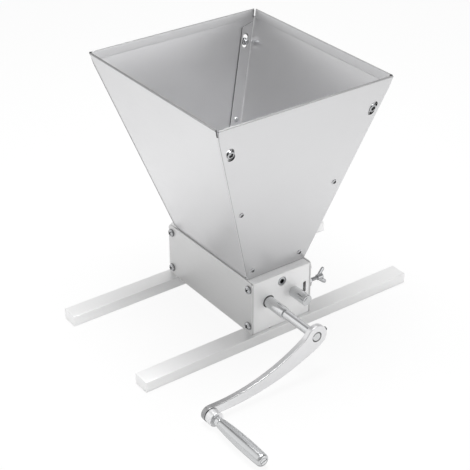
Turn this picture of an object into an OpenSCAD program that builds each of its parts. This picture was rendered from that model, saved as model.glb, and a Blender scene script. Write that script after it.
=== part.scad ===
// Two-roller malt mill: a sheet hopper on a small box body, two foot bars and a hand crank.
// Frame: +X to the right, +Y to the rear, +Z up, seen from the crank's side.
// The origin is the middle of the front foot bar's underside.

/* [Foot bars] */
// Length of each foot bar
bar_length = 338; // [220:1:500]
// Width of each foot bar, front to rear
bar_width = 20; // [14:1:40]
// Height of each foot bar
bar_height = 12; // [8:0.5:25]

/* [Body] */
// Distance between the middles of the two end plates
plate_pitch = 140; // [90:1:240]
// Thickness of each end plate
plate_t = 12; // [11:0.5:18]
// Width of each end plate
plate_w = 72; // [70:1:110]
// Height of the body above the foot bars
body_h = 61; // [58:1:90]
// Thickness of each side cover
cover_t = 2; // [1:0.25:4]
// Radius of the side covers' top corners
cover_corner_r = 4; // [1:0.5:8]
// Small bevel on the edges of plates and bars
edge_bevel = 0.6; // [0.2:0.1:1.5]

/* [Hopper] */
// Width of the rim, left to right
rim_w = 208; // [120:1:320]
// Depth of the rim, front to rear
rim_d = 223.4; // [160:0.2:340]
// Height of the hopper above the body
hopper_h = 203; // [120:1:320]
// How far the front and rear walls lap over the end plates
mouth_lap = 1.7; // [1:0.1:4]
// Thickness of the sheet
sheet_t = 1; // [0.6:0.1:2]
// Height of the folded hem inside the rim
hem_h = 9; // [5:0.5:11]
// Width of the corner flanges that join the walls
flange_w = 15.5; // [14:0.5:25]
// Height of the tabs that reach down into the body
tab_h = 14.5; // [14:0.5:18]

/* [Rollers] */
// Diameter over the rollers' flutes
roller_d = 31; // [24:0.25:31.25]
// Depth of the rollers' flutes
flute_depth = 0.7; // [0.3:0.1:1.5]
// Number of flutes round each roller
flute_count = 60; // [24:1:80]
// Depth of both roller axes below the body's top
axis_drop = 27.3; // [26:0.1:33]
// Distance of the driven roller's axis from the middle, to the left
drive_offset = 16.9; // [16.8:0.1:19]
// Distance of the adjuster's axis from the middle, to the right
adjuster_offset = 15.5; // [15.4:0.1:16]
// Diameter of the loose roller's axle
axle_d = 10; // [6:0.5:11]

/* [Drive shaft] */
// Diameter of the shaft through the roller and the bushes
shaft_d = 12; // [10:0.5:14]
// Diameter of the shaft's nose, which carries the crank
nose_d = 9.5; // [6:0.25:9.75]
// How far the shaft's shoulder stands out of the front plate
shoulder_reach = 28.3; // [24:0.1:50]
// Distance from the front plate's face to the crank's front face
crank_reach = 78.2; // [60:0.1:120]
// Wall of the bushes round the shaft
bush_wall = 1; // [0.75:0.25:2]

/* [Adjuster] */
// Distance from the adjuster's axis to the loose roller's axis
eccentricity = 1.1; // [0.5:0.1:1.2]
// Direction of the loose roller's axis at rest, anticlockwise from +X seen from the front
eccentric_angle = 131; // [90:1:180]
// Diameter of the adjuster's disc inside the plate
disc_d = 22; // [18:0.5:22]
// Thickness of the adjuster's disc
disc_t = 8.2; // [7.5:0.1:8.4]
// Diameter of the adjuster's stub
stub_d = 12; // [8:0.5:14]
// How far the stub stands out of the plate
stub_reach = 22.5; // [12:0.5:40]

/* [Crank] */
// Distance from the shaft to the handle
crank_radius = 132; // [90:1:180]
// Thickness of the arm
arm_t = 6; // [5:0.5:10]
// Diameter of the arm's end on the shaft
hub_d = 25; // [20:0.5:32]
// Diameter of the arm's end at the handle
arm_end_d = 16.4; // [14:0.2:22]
// How far the arm's outer edge bows below the line from shaft to handle
outer_dip = 17.3; // [15:0.1:22]
// How far the arm's inner edge bows below that line
inner_dip = 2.5; // [0.5:0.1:4]
// Gap between the lowest part of the crank and the surface that the mill stands on
floor_clearance = 0.8; // [0.5:0.1:10]

/* [Handle] */
// Length of the turning grip
grip_length = 66; // [50:1:110]
// Diameter of the grip where it starts
grip_start_d = 10.4; // [9.5:0.1:14]
// Greatest diameter of the grip
grip_mid_d = 14; // [13:0.1:20]
// Rounding of the grip's end
grip_round = 3; // [1:0.25:3.5]
// Diameter of the spindle inside the grip
spindle_d = 6; // [4:0.5:6]
// Diameter of the collar at the handle's foot
collar_d = 15.4; // [12:0.2:20]
// Length of that collar
collar_h = 8.4; // [4:0.2:14]
// Length of the ferrule between the collar and the grip
ferrule_length = 6.8; // [4:0.2:20]

/* [Wing screws] */
// Diameter of the wing screws' thread
wing_thread_d = 4; // [3:0.5:4]
// Distance from the side cover to the wing screws' heads
wing_standoff = 13; // [9:0.5:25]
// Width across the wings
wing_span = 20; // [16:0.5:28]
// Length of a wing screw's head along its axis
wing_head_h = 12.7; // [10:0.1:16]
// Tilt of the wings from upright
wing_tilt = 17; // [-45:1:45]

/* [Hidden] */
$fn = 64;

// Overrun of every cut past the face that it starts from
cut = 1;
// Gap round a part that is pressed or screwed in
snug = 0.02;
// Gap round a part that turns
running = 0.05;
// Gap round a screw in a plain hole
clearance = 0.15;
// Gap between sheets that lie on each other
sheet_gap = 0.05;
// Gap between parts that pass without touching
free_gap = 0.4;

// Places in the body
body_top = bar_height + body_h;
axis_z = body_top - axis_drop;
drive_x = -drive_offset;
adjuster_x = adjuster_offset;
plate_face = plate_t / 2;
middle_y = plate_pitch / 2;
cover_face_x = plate_w / 2 + cover_t;

// Countersunk screws that hold the plates on the foot bars
foot_screw_d = 6;
foot_screw_x = 14;
foot_screw_depth = 13;
foot_head_d = 11;
foot_head_h = 2.8;
foot_socket_d = 4.6;
foot_socket_depth = 2.2;

// Pan-head screws that hold the side covers
cover_screw_d = 5;
cover_screw_depth = 10;
cover_screw_inset = 8.5;
cover_head_d = 9;
cover_head_h = 3;
cross_length = 5.2;
cross_width = 1.2;
cross_depth = 1.7;

// Cap screws and nuts that hold the hopper's tabs to the plates
mount_screw_d = 6;
mount_head_d = 9.8;
mount_head_h = 5.6;
mount_socket_d = 5.8;
mount_socket_depth = 3;
mount_screw_drop = 9.4;
mount_nut_d = 11.4;
mount_nut_h = 4;

// Hopper walls, tabs and corner flanges
body_gap = plate_pitch - plate_t;
mouth_w = plate_w;
mouth_d = body_gap + 2 * mouth_lap;
front_lean = atan((rim_d - mouth_d) / 2 / hopper_h);
side_lean = atan((rim_w - mouth_w) / 2 / hopper_h);
front_slope = hopper_h / cos(front_lean);
side_slope = hopper_h / cos(side_lean);
seam = (sheet_t + sheet_gap) / cos(front_lean);
seam_lean = atan((rim_w - mouth_w) / 2 / front_slope);
hem_inset = 3;
notch_w = 1.6;
notch_drop = 12.7;
flange_foot = 3;
flange_drop_corner = 12.7;
flange_drop_inner = 16.3;
tab_root_share = 0.8;
end_tab_half_w = mouth_w / 2 - sheet_t - 4 * sheet_gap;

// Rivets and screws along the hopper's seams, measured up the slope and in from the corner
seam_inset = 9.2;
left_rivet_inset = 7.8;
right_rivet_inset = 12.4;
low_rivet_row = 12;
high_rivet_drop = 113;
rivet_rows = [low_rivet_row, front_slope - high_rivet_drop];
rivet_d = 3.2;
rivet_head_d = 5.6;
rivet_head_h = 1.5;
rivet_tail_h = 1;
corner_screw_drop = 32;
corner_screw_row = front_slope - corner_screw_drop;
corner_screw_d = 4;
corner_head_d = 8;
corner_head_h = 2.6;
corner_socket_d = 5.6;
corner_socket_depth = 1.6;
corner_nut_d = 7;
corner_nut_h = 1.8;
corner_screw_end = 1.2;
wall_slot_w = 8.2;
flange_slot_w = 5.8;
slot_length = 15.2;

// Rollers
roller_length = body_gap - 2 * (sheet_gap + sheet_t + free_gap);
idler_x = adjuster_x + eccentricity * cos(eccentric_angle);
idler_z = axis_z + eccentricity * sin(eccentric_angle);
shaft_tail = 1.5;
shaft_end_bevel = 0.6;
bush_d = shaft_d + 2 * bush_wall;

// Adjuster: a disc in the plate with a bore for the axle and a stub to turn it by
disc_end_gap = 0.1;
axle_bore_depth = 7;
index_w = 0.8;
index_length = 5;
index_depth = 1.2;
index_reach = 3.1;
stub_bevel = 0.5;

// Wing screws, the nuts in the plates' slots and the flange nuts on the cover
tip_gap = 0.35;
nut_slot_w = 3.6;
nut_slot_h = 12.6;
nut_slot_offset = 14.1;
nut_slot_x = adjuster_x + nut_slot_offset;
nut_slot_floor = 1.8;
captive_nut_d = 7.8;
captive_nut_h = 3.2;
flange_nut_d = 7.8;
flange_nut_h = 4;
flange_d = 12;
flange_t = 1.2;
wing_hub_d = 7.6;
wing_hub_h = 7;
wing_neck_d = 6;
wing_t = 2.2;
wing_tip_r = 2.4;

// Crank arm: two arcs, each deepest at a share of the arm's length
outer_dip_share = 0.342;
inner_dip_share = 0.518;
outer_end_rise = -1.2;
inner_end_rise = 8.7;
hub_bevel = 0.7;
set_screw_d = 4;
set_screw_proud = 1.2;
set_socket_d = 2.3;
set_socket_depth = 2;
crank_y = -plate_face - crank_reach;
crank_angle = 180 + asin((axis_z - arm_end_d / 2 - floor_clearance) / crank_radius);
handle_x = drive_x + crank_radius * cos(crank_angle);
handle_z = axis_z + crank_radius * sin(crank_angle);

// Handle
washer_t = 0.6;
washer_d = 15;
ferrule_d = 9.4;
grip_mid_share = 0.63;
grip_steps = 14;
round_steps = 4;
spindle_head_d = 7.6;
spindle_head_h = 3;
spindle_slot_w = 1;
spindle_slot_depth = 1;
spindle_slot_angle = 20;
collar_y = crank_y - washer_t;
ferrule_y = collar_y - collar_h;
grip_y = ferrule_y - ferrule_length - free_gap;

// Placing: children drawn along +Z point to the named side
module toward_front(x, y, z) translate([x, y, z]) rotate([90, 0, 0]) children();
module toward_rear(x, y, z) translate([x, y, z]) rotate([-90, 0, 0]) children();
module toward_right(x, y, z) translate([x, y, z]) rotate([0, 90, 0]) children();
module toward_left(x, y, z) translate([x, y, z]) rotate([0, -90, 0]) children();

// The rear end repeats the front end, seen in a mirror across the body's middle
module at_rear() translate([0, plate_pitch, 0]) mirror([0, 1, 0]) children();

module both_ends() {
    children();
    at_rear() children();
}

// A rectangle with bevelled corners, and a block with all its edges bevelled
module bevelled_outline(w, h, c) {
    polygon([
        [c - w / 2, -h / 2], [w / 2 - c, -h / 2], [w / 2, c - h / 2], [w / 2, h / 2 - c],
        [w / 2 - c, h / 2], [c - w / 2, h / 2], [-w / 2, h / 2 - c], [-w / 2, c - h / 2]
    ]);
}

module bevelled_block(w, d, h, c) {
    intersection() {
        linear_extrude(h) bevelled_outline(w, d, c);
        translate([0, d / 2, h / 2]) rotate([90, 0, 0]) linear_extrude(d) bevelled_outline(w, h, c);
        translate([-w / 2, 0, h / 2]) rotate([90, 0, 90]) linear_extrude(w) bevelled_outline(d, h, c);
    }
}

// A round bar whose far end is bevelled
module bevelled_bar(d, length, c) {
    cylinder(d = d, h = length - c);
    translate([0, 0, length - c]) cylinder(d1 = d, d2 = d - 2 * c, h = c);
}

// A low dome of a given diameter and height, standing on Z = 0
module dome(d, h) {
    ball_r = (d * d / 4 + h * h) / (2 * h);
    intersection() {
        cylinder(d = d, h = h + cut);
        translate([0, 0, h - ball_r]) sphere(r = ball_r, $fn = 96);
    }
}

// A hexagonal socket or nut body, measured across its corners
module hexagon(d, h) cylinder(d = d, h = h, $fn = 6);

module nut(d, h, bore) {
    difference() {
        hexagon(d, h);
        translate([0, 0, -cut]) cylinder(d = bore + 2 * snug, h = h + 2 * cut);
    }
}

// Foot bars

module foot_screw_places() {
    for (side = [-1, 1]) translate([side * foot_screw_x, 0, 0]) children();
}

module foot_bar() {
    difference() {
        bevelled_block(bar_length, bar_width, bar_height, edge_bevel);
        foot_screw_places() {
            translate([0, 0, -cut]) cylinder(d = foot_screw_d + 2 * clearance, h = bar_height + 2 * cut);
            translate([0, 0, -cut]) cylinder(d = foot_head_d + 2 * clearance, h = cut + clearance);
            translate([0, 0, clearance]) cylinder(
                d1 = foot_head_d + 2 * clearance, d2 = foot_screw_d + 2 * clearance, h = foot_head_h
            );
        }
    }
}

module foot_screw() {
    difference() {
        union() {
            translate([0, 0, clearance]) cylinder(d1 = foot_head_d, d2 = foot_screw_d, h = foot_head_h);
            translate([0, 0, clearance])
                cylinder(d = foot_screw_d, h = bar_height + foot_screw_depth - clearance);
        }
        translate([0, 0, -cut]) hexagon(foot_socket_d, cut + foot_socket_depth);
    }
}

module front_foot_bar() color("silver") foot_bar();
module rear_foot_bar() color("silver") at_rear() foot_bar();
module foot_bar_screws() color("dimgray") both_ends() foot_screw_places() foot_screw();

// Body

module cover_screw_heights() {
    for (h = [cover_screw_inset, body_h - cover_screw_inset]) translate([0, 0, bar_height + h]) children();
}

module end_plate() {
    difference() {
        translate([0, 0, bar_height]) bevelled_block(plate_w, plate_t, body_h, edge_bevel);
        toward_rear(drive_x, -plate_face - cut, axis_z)
            cylinder(d = bush_d + 2 * snug, h = plate_t + 2 * cut);
        toward_rear(adjuster_x, -plate_face - cut, axis_z)
            cylinder(d = stub_d + 2 * running, h = plate_t + 2 * cut);
        toward_front(adjuster_x, plate_face + cut, axis_z)
            cylinder(d = disc_d + 2 * running, h = cut + disc_t + 2 * disc_end_gap);
        toward_rear(0, -plate_face - cut, body_top - mount_screw_drop) {
            cylinder(d = mount_screw_d + 2 * clearance, h = plate_t + 2 * cut);
            cylinder(d = mount_head_d + 4 * clearance, h = cut + mount_head_h);
        }
        toward_left(plate_w / 2 + cut, 0, axis_z)
            cylinder(d = wing_thread_d + 2 * clearance, h = cut + plate_w / 2 - adjuster_x);
        translate([nut_slot_x - nut_slot_w / 2, -plate_face - cut, axis_z - nut_slot_h / 2])
            cube([nut_slot_w, cut + plate_t - nut_slot_floor, nut_slot_h]);
        cover_screw_heights() {
            toward_left(plate_w / 2 + cut, 0, 0)
                cylinder(d = cover_screw_d + 2 * snug, h = cut + cover_screw_depth + clearance);
            toward_right(-plate_w / 2 - cut, 0, 0)
                cylinder(d = cover_screw_d + 2 * snug, h = cut + cover_screw_depth + clearance);
        }
        foot_screw_places() translate([0, 0, bar_height - cut])
            cylinder(d = foot_screw_d + 2 * snug, h = cut + foot_screw_depth + clearance);
    }
}

module front_end_plate() color("gainsboro") end_plate();
module rear_end_plate() color("gainsboro") at_rear() end_plate();

// Outline of a side cover, X from front to rear and Y up, with round top corners
module cover_outline() {
    length = plate_pitch + plate_t;
    square([length, body_h - cover_corner_r]);
    translate([cover_corner_r, 0]) square([length - 2 * cover_corner_r, body_h]);
    for (x = [cover_corner_r, length - cover_corner_r])
        translate([x, body_h - cover_corner_r]) circle(r = cover_corner_r);
}

// A side cover whose inner face lies at X = 0 and whose outer face points to +X
module side_cover(has_wing_holes) {
    difference() {
        translate([0, -plate_face, bar_height]) rotate([90, 0, 90]) linear_extrude(cover_t) cover_outline();
        both_ends() {
            cover_screw_heights() toward_right(-cut, 0, 0)
                cylinder(d = cover_screw_d + 2 * clearance, h = cover_t + 2 * cut);
            if (has_wing_holes) toward_right(-cut, 0, axis_z)
                cylinder(d = wing_thread_d + 2 * clearance, h = cover_t + 2 * cut);
        }
    }
}

module right_cover() color("lightgray") translate([plate_w / 2, 0, 0]) side_cover(true);
module left_cover() color("lightgray") mirror([1, 0, 0]) translate([plate_w / 2, 0, 0]) side_cover(false);

// A pan-head screw with a cross recess: its head stands on Z = 0 and its shank points down
module cover_screw() {
    difference() {
        dome(cover_head_d, cover_head_h);
        for (turn = [0, 90]) rotate([0, 0, turn])
            translate([-cross_length / 2, -cross_width / 2, cover_head_h - cross_depth])
                cube([cross_length, cross_width, cross_depth + cut]);
    }
    translate([0, 0, -cover_t - cover_screw_depth])
        cylinder(d = cover_screw_d, h = cover_t + cover_screw_depth);
}

module cover_screws() {
    color("dimgray") both_ends() cover_screw_heights() {
        toward_right(cover_face_x, 0, 0) cover_screw();
        toward_left(-cover_face_x, 0, 0) cover_screw();
    }
}

// Hopper: each wall is drawn flat, X across, Y up the slope, with its outer face at Z = 0

module wall_frame(turn, half_depth, lean) {
    translate([0, middle_y, body_top]) rotate([0, 0, turn]) translate([0, -half_depth, 0])
        rotate([90 + lean, 0, 0]) children();
}

function half_at(y, bottom, top, slope) = bottom + (top - bottom) * y / slope;

module wall(bottom, top, slope) {
    notch_y = slope - notch_drop;
    notch_x = half_at(notch_y, bottom, top, slope);
    hem_y = slope - hem_h;
    hem_x = half_at(hem_y, bottom, top, slope) - hem_inset;
    translate([0, 0, -sheet_t]) linear_extrude(sheet_t) polygon([
        [-bottom, sheet_gap], [bottom, sheet_gap], [notch_x, notch_y], [top - notch_w, slope],
        [notch_w - top, slope], [-notch_x, notch_y]
    ]);
    translate([0, 0, -2 * sheet_t]) linear_extrude(2 * sheet_t - sheet_gap)
        polygon([[-hem_x, hem_y], [hem_x, hem_y], [top - hem_inset, slope], [hem_inset - top, slope]]);
}

// The upright tab below a wall, which reaches into the body behind its plate or cover
module tab(turn, half_depth, half_width) {
    translate([0, middle_y, body_top]) rotate([0, 0, turn])
        translate([-half_width, sheet_gap - half_depth, -tab_h])
            cube([2 * half_width, sheet_t, tab_h + tab_root_share * sheet_t]);
}

function front_half_at(y) = half_at(y, mouth_w / 2, rim_w / 2, front_slope);

// Places along the two seams of the front wall, or of the rear wall at turn = 180
module seam_places(turn, rows, left_inset = seam_inset, right_inset = seam_inset) {
    wall_frame(turn, mouth_d / 2, front_lean) for (y = rows, side = [-1, 1])
        translate([side * (front_half_at(y) - (side < 0 ? left_inset : right_inset)), y, 0])
            rotate([0, 0, -side * seam_lean]) children();
}

module rivet_places(turn) seam_places(turn, rivet_rows, left_rivet_inset, right_rivet_inset) children();

module slot_outline(w) {
    square([w, slot_length - w], center = true);
    for (end = [-1, 1]) translate([0, end * (slot_length - w) / 2]) circle(d = w);
}

module seam_holes(turn, slot_w) {
    rivet_places(turn)
        translate([0, 0, -3 * sheet_t]) cylinder(d = rivet_d + 2 * snug, h = 3 * sheet_t + cut);
    seam_places(turn, [corner_screw_row])
        translate([0, 0, -3 * sheet_t]) linear_extrude(3 * sheet_t + cut) slot_outline(slot_w);
}

// The front wall, or the rear one at turn = 180. A level strip on the plate joins its foot to its tab
module end_wall(turn) {
    difference() {
        union() {
            wall_frame(turn, mouth_d / 2, front_lean) wall(mouth_w / 2, rim_w / 2, front_slope);
            tab(turn, body_gap / 2, end_tab_half_w);
            translate([0, middle_y, body_top]) rotate([0, 0, turn])
                translate([-end_tab_half_w, -mouth_d / 2, sheet_gap])
                    cube([2 * end_tab_half_w, mouth_lap + sheet_gap + sheet_t, tab_root_share * sheet_t]);
        }
        seam_holes(turn, wall_slot_w);
        translate([0, middle_y, 0]) rotate([0, 0, turn])
            toward_rear(0, -body_gap / 2 - cut, body_top - mount_screw_drop)
                cylinder(d = mount_screw_d + 2 * clearance, h = 3 * cut + sheet_t);
    }
}

// A bent strip of a side wall, lying inside the front wall, or the rear one at turn = 180
module corner_flange(turn, side) {
    low = flange_foot;
    inner = front_slope - flange_drop_inner;
    corner = front_slope - flange_drop_corner;
    difference() {
        wall_frame(turn, mouth_d / 2, front_lean) translate([0, 0, -2 * sheet_t - sheet_gap])
            linear_extrude(sheet_t) polygon([
                [side * front_half_at(low), low], [side * (front_half_at(low) - flange_w), low],
                [side * (front_half_at(inner) - flange_w), inner], [side * front_half_at(corner), corner]
            ]);
        seam_holes(turn, flange_slot_w);
    }
}

module side_wall(turn, side) {
    wall_frame(turn, mouth_w / 2, side_lean) wall(mouth_d / 2 - seam, rim_d / 2 - seam, side_slope);
    tab(turn, mouth_w / 2, body_gap / 2 - sheet_t - free_gap);
    corner_flange(0, side);
    corner_flange(180, -side);
}

module hopper_front_wall() color("whitesmoke") end_wall(0);
module hopper_rear_wall() color("whitesmoke") end_wall(180);
module hopper_left_wall() color("gainsboro") side_wall(-90, -1);
module hopper_right_wall() color("gainsboro") side_wall(90, 1);

module rivet() {
    grip = 2 * sheet_t + sheet_gap;
    dome(rivet_head_d, rivet_head_h);
    translate([0, 0, -grip - rivet_tail_h])
        cylinder(d = rivet_d, h = grip + rivet_tail_h + rivet_head_h / 2);
    translate([0, 0, -grip]) mirror([0, 0, 1]) dome(rivet_head_d, rivet_tail_h);
}

// A screw whose head lies in the wall's slot and stands on the flange
module corner_screw() {
    length = sheet_t + corner_nut_h + corner_screw_end;
    translate([0, 0, -sheet_t - sheet_gap]) {
        difference() {
            dome(corner_head_d, corner_head_h);
            translate([0, 0, corner_head_h - corner_socket_depth])
                hexagon(corner_socket_d, corner_socket_depth + cut);
        }
        translate([0, 0, -length]) cylinder(d = corner_screw_d, h = length);
    }
}

module corner_nut() {
    translate([0, 0, -2 * sheet_t - sheet_gap - corner_nut_h]) difference() {
        cylinder(d = corner_nut_d, h = corner_nut_h);
        translate([0, 0, -cut]) cylinder(d = corner_screw_d + 2 * snug, h = corner_nut_h + 2 * cut);
    }
}

module hopper_seam_rivets() color("silver") for (turn = [0, 180]) rivet_places(turn) rivet();
module hopper_corner_screws() color("dimgray")
    for (turn = [0, 180]) seam_places(turn, [corner_screw_row]) corner_screw();
module hopper_corner_nuts() color("dimgray")
    for (turn = [0, 180]) seam_places(turn, [corner_screw_row]) corner_nut();

module mounting_screw() {
    length = plate_t + sheet_gap + sheet_t + mount_nut_h;
    difference() {
        union() {
            bevelled_head();
            cylinder(d = mount_screw_d, h = length);
        }
        translate([0, 0, -cut]) hexagon(mount_socket_d, cut + mount_socket_depth);
    }
}

module bevelled_head() {
    cylinder(d1 = mount_head_d - edge_bevel, d2 = mount_head_d, h = edge_bevel);
    translate([0, 0, edge_bevel]) cylinder(d = mount_head_d, h = mount_head_h - edge_bevel);
}

module hopper_mounting_screws() color("dimgray")
    both_ends() toward_rear(0, -plate_face, body_top - mount_screw_drop) mounting_screw();
module hopper_mounting_nuts() color("dimgray")
    both_ends() toward_rear(0, plate_face + sheet_gap + sheet_t, body_top - mount_screw_drop)
        nut(mount_nut_d, mount_nut_h, mount_screw_d);

// Drive shaft, rollers and their bushes

module drive_shaft() {
    color("silver") {
        toward_rear(drive_x, -plate_face - shoulder_reach, axis_z)
            bevelled_bar(shaft_d, shoulder_reach + plate_pitch + plate_t + shaft_tail, shaft_end_bevel);
        toward_front(drive_x, -plate_face - shoulder_reach, axis_z)
            bevelled_bar(nose_d, crank_reach - shoulder_reach, shaft_end_bevel);
    }
}

module bush() {
    toward_rear(drive_x, -plate_face, axis_z) difference() {
        cylinder(d = bush_d, h = plate_t);
        translate([0, 0, -cut]) cylinder(d = shaft_d + 2 * running, h = plate_t + 2 * cut);
    }
}

module front_drive_bush() color("gray") bush();
module rear_drive_bush() color("gray") at_rear() bush();

// A roller with straight flutes: alternate points lie on the outer and the inner circle
module fluted_roller(x, z, bore) {
    toward_rear(x, middle_y - roller_length / 2, z) difference() {
        linear_extrude(roller_length) polygon([
            for (i = [0 : 2 * flute_count - 1])
                let (angle = 180 * i / flute_count, r = roller_d / 2 - (i % 2) * flute_depth)
                [r * cos(angle), r * sin(angle)]
        ]);
        translate([0, 0, -cut]) cylinder(d = bore + 2 * snug, h = roller_length + 2 * cut);
    }
}

module drive_roller() color("darkgray") fluted_roller(drive_x, axis_z, shaft_d);
module idler_roller() color("darkgray") fluted_roller(idler_x, idler_z, axle_d);

module idler_axle() {
    axle_start = plate_face - axle_bore_depth + free_gap;
    color("silver") toward_rear(idler_x, axle_start, idler_z)
        bevelled_bar(axle_d, plate_pitch - 2 * axle_start, shaft_end_bevel);
}

// Adjusters

module adjuster() {
    difference() {
        union() {
            toward_front(adjuster_x, plate_face - disc_end_gap, axis_z) cylinder(d = disc_d, h = disc_t);
            toward_front(adjuster_x, plate_face - disc_end_gap - disc_t, axis_z)
                bevelled_bar(stub_d, plate_t - disc_t - disc_end_gap + stub_reach, stub_bevel);
        }
        toward_front(idler_x, plate_face + cut, idler_z)
            cylinder(d = axle_d + 2 * running, h = cut + axle_bore_depth);
        translate([adjuster_x, -plate_face - stub_reach, axis_z]) rotate([0, -eccentric_angle, 0])
            translate([index_reach - index_w / 2, -cut, -index_length / 2])
                cube([index_w, cut + index_depth, index_length]);
    }
}

module front_adjuster() color("silver") adjuster();
module rear_adjuster() color("silver") at_rear() adjuster();

// Wing screws that lock the adjusters, from the right side

module wing() {
    tip_x = wing_head_h - wing_tip_r;
    tip_y = wing_span / 2 - wing_tip_r;
    rotate([90, 0, 0]) translate([0, 0, -wing_t / 2]) linear_extrude(wing_t) {
        polygon([
            [0, 0], [wing_neck_d / 2, 0], [tip_y + wing_tip_r * cos(30), tip_x - wing_tip_r * sin(30)],
            [tip_y - wing_tip_r * cos(30), tip_x + wing_tip_r * sin(30)], [0, wing_hub_h]
        ]);
        translate([tip_y, tip_x]) circle(r = wing_tip_r);
    }
}

module wing_screw() {
    head_x = cover_face_x + wing_standoff;
    tip_x = adjuster_x + disc_d / 2 + tip_gap;
    toward_right(tip_x, 0, axis_z) cylinder(d = wing_thread_d, h = head_x - tip_x + wing_hub_h / 2);
    toward_right(head_x, 0, axis_z) rotate([0, 0, 180 - wing_tilt]) {
        cylinder(d1 = wing_neck_d, d2 = wing_hub_d, h = wing_hub_h);
        wing();
        mirror([1, 0, 0]) wing();
    }
}

module front_wing_screw() color("silver") wing_screw();
module rear_wing_screw() color("silver") at_rear() wing_screw();

module captive_nuts() color("dimgray")
    both_ends() toward_right(nut_slot_x - captive_nut_h / 2, 0, axis_z)
        nut(captive_nut_d, captive_nut_h, wing_thread_d + 2 * running);

module wing_flange_nuts() {
    color("silver") both_ends() toward_right(cover_face_x, 0, axis_z) difference() {
        union() {
            cylinder(d = flange_d, h = flange_t);
            hexagon(flange_nut_d, flange_nut_h);
        }
        translate([0, 0, -cut]) cylinder(d = wing_thread_d + 4 * running, h = flange_nut_h + 2 * cut);
    }
}

// Crank arm, drawn from the shaft along +X, and seen from the front

// Radius of the arc that is level at its deepest point and ends a given height above it
function arc_radius(run, rise) = (run * run + rise * rise) / (2 * rise);

// A disc as thick as the arm whose rim follows one edge of the arm
module arm_disc(dip, dip_share, end_rise, overrun) {
    dip_x = dip_share * crank_radius;
    r = arc_radius(crank_radius - dip_x, end_rise + dip);
    translate([dip_x, r - dip, -arm_t - overrun]) cylinder(r = r, h = arm_t + 2 * overrun, $fn = 360);
}

module arm_blade() {
    difference() {
        intersection() {
            arm_disc(outer_dip, outer_dip_share, outer_end_rise, 0);
            translate([0, -hub_d, -arm_t]) cube([crank_radius, 2 * hub_d, arm_t]);
        }
        arm_disc(inner_dip, inner_dip_share, inner_end_rise, cut);
    }
}

// Places children in the arm's frame, with Z = 0 on the arm's front face, pointing to the front
module in_arm_frame() toward_front(drive_x, crank_y, axis_z) rotate([0, 0, crank_angle]) mirror([0, 1, 0])
    children();

module crank_arm() {
    color("gainsboro") in_arm_frame() difference() {
        union() {
            arm_blade();
            translate([0, 0, -arm_t]) cylinder(d = hub_d, h = arm_t);
            translate([crank_radius, 0, -arm_t]) cylinder(d = arm_end_d, h = arm_t);
        }
        translate([0, 0, -arm_t - cut]) cylinder(d = nose_d + 2 * snug, h = arm_t + 2 * cut);
        translate([0, 0, -hub_bevel])
            cylinder(d1 = nose_d, d2 = nose_d + 2 * hub_bevel + 2 * cut, h = hub_bevel + cut);
        translate([crank_radius, 0, -arm_t - cut]) cylinder(d = spindle_d + 2 * snug, h = arm_t + 2 * cut);
        translate([0, 0, -arm_t / 2]) rotate([0, -90, 0]) cylinder(d = set_screw_d + 2 * snug, h = hub_d);
    }
}

module crank_set_screw() {
    tip = nose_d / 2 + snug;
    color("dimgray") in_arm_frame() translate([-tip, 0, -arm_t / 2]) rotate([0, -90, 0]) difference() {
        cylinder(d = set_screw_d, h = hub_d / 2 + set_screw_proud - tip);
        translate([0, 0, hub_d / 2 + set_screw_proud - tip - set_socket_depth])
            hexagon(set_socket_d, set_socket_depth + cut);
    }
}

// Handle: a spindle screwed into the arm, with the grip turning on it

module on_handle_axis(y) toward_front(handle_x, y, handle_z) children();

// A round sleeve that sits on the spindle
module sleeve(d, h) {
    difference() {
        cylinder(d = d, h = h);
        translate([0, 0, -cut]) cylinder(d = spindle_d + 2 * snug, h = h + 2 * cut);
    }
}

module handle_washer() color("dimgray") on_handle_axis(crank_y) sleeve(washer_d, washer_t);
module handle_collar() color("silver") on_handle_axis(collar_y) sleeve(collar_d, collar_h);
module handle_ferrule() color("silver") on_handle_axis(ferrule_y) sleeve(ferrule_d, ferrule_length);

// Half of the grip's section: one long arc, its steps worked out, cut off by a quarter circle
module grip_section() {
    mid = grip_mid_share * grip_length;
    arc_r = arc_radius(mid, (grip_mid_d - grip_start_d) / 2);
    arc_end = grip_length - grip_round;
    function grip_r(s) = grip_mid_d / 2 - arc_r + sqrt(arc_r * arc_r - (s - mid) * (s - mid));
    polygon([
        [0, 0],
        for (i = [0 : grip_steps]) let (s = arc_end * i / grip_steps) [grip_r(s), s],
        for (i = [1 : round_steps]) let (a = 90 * i / round_steps)
            [grip_r(arc_end) - grip_round * (1 - cos(a)), arc_end + grip_round * sin(a)],
        [0, grip_length]
    ]);
}

module handle_grip() {
    color("silver") on_handle_axis(grip_y) difference() {
        rotate_extrude() grip_section();
        translate([0, 0, -cut]) cylinder(d = spindle_d + 2 * running, h = grip_length + 2 * cut);
        translate([0, 0, grip_length - spindle_head_h - free_gap])
            cylinder(d = spindle_head_d + 4 * running, h = spindle_head_h + free_gap + cut);
    }
}

module handle_spindle() {
    start = crank_y + arm_t;
    length = start - grip_y + grip_length;
    color("dimgray") on_handle_axis(start) difference() {
        union() {
            cylinder(d = spindle_d, h = length);
            translate([0, 0, length - spindle_head_h]) cylinder(d = spindle_head_d, h = spindle_head_h);
        }
        translate([0, 0, length - spindle_slot_depth]) rotate([0, 0, spindle_slot_angle])
            translate([-spindle_head_d, -spindle_slot_w / 2, 0])
                cube([2 * spindle_head_d, spindle_slot_w, spindle_slot_depth + cut]);
    }
}

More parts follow.
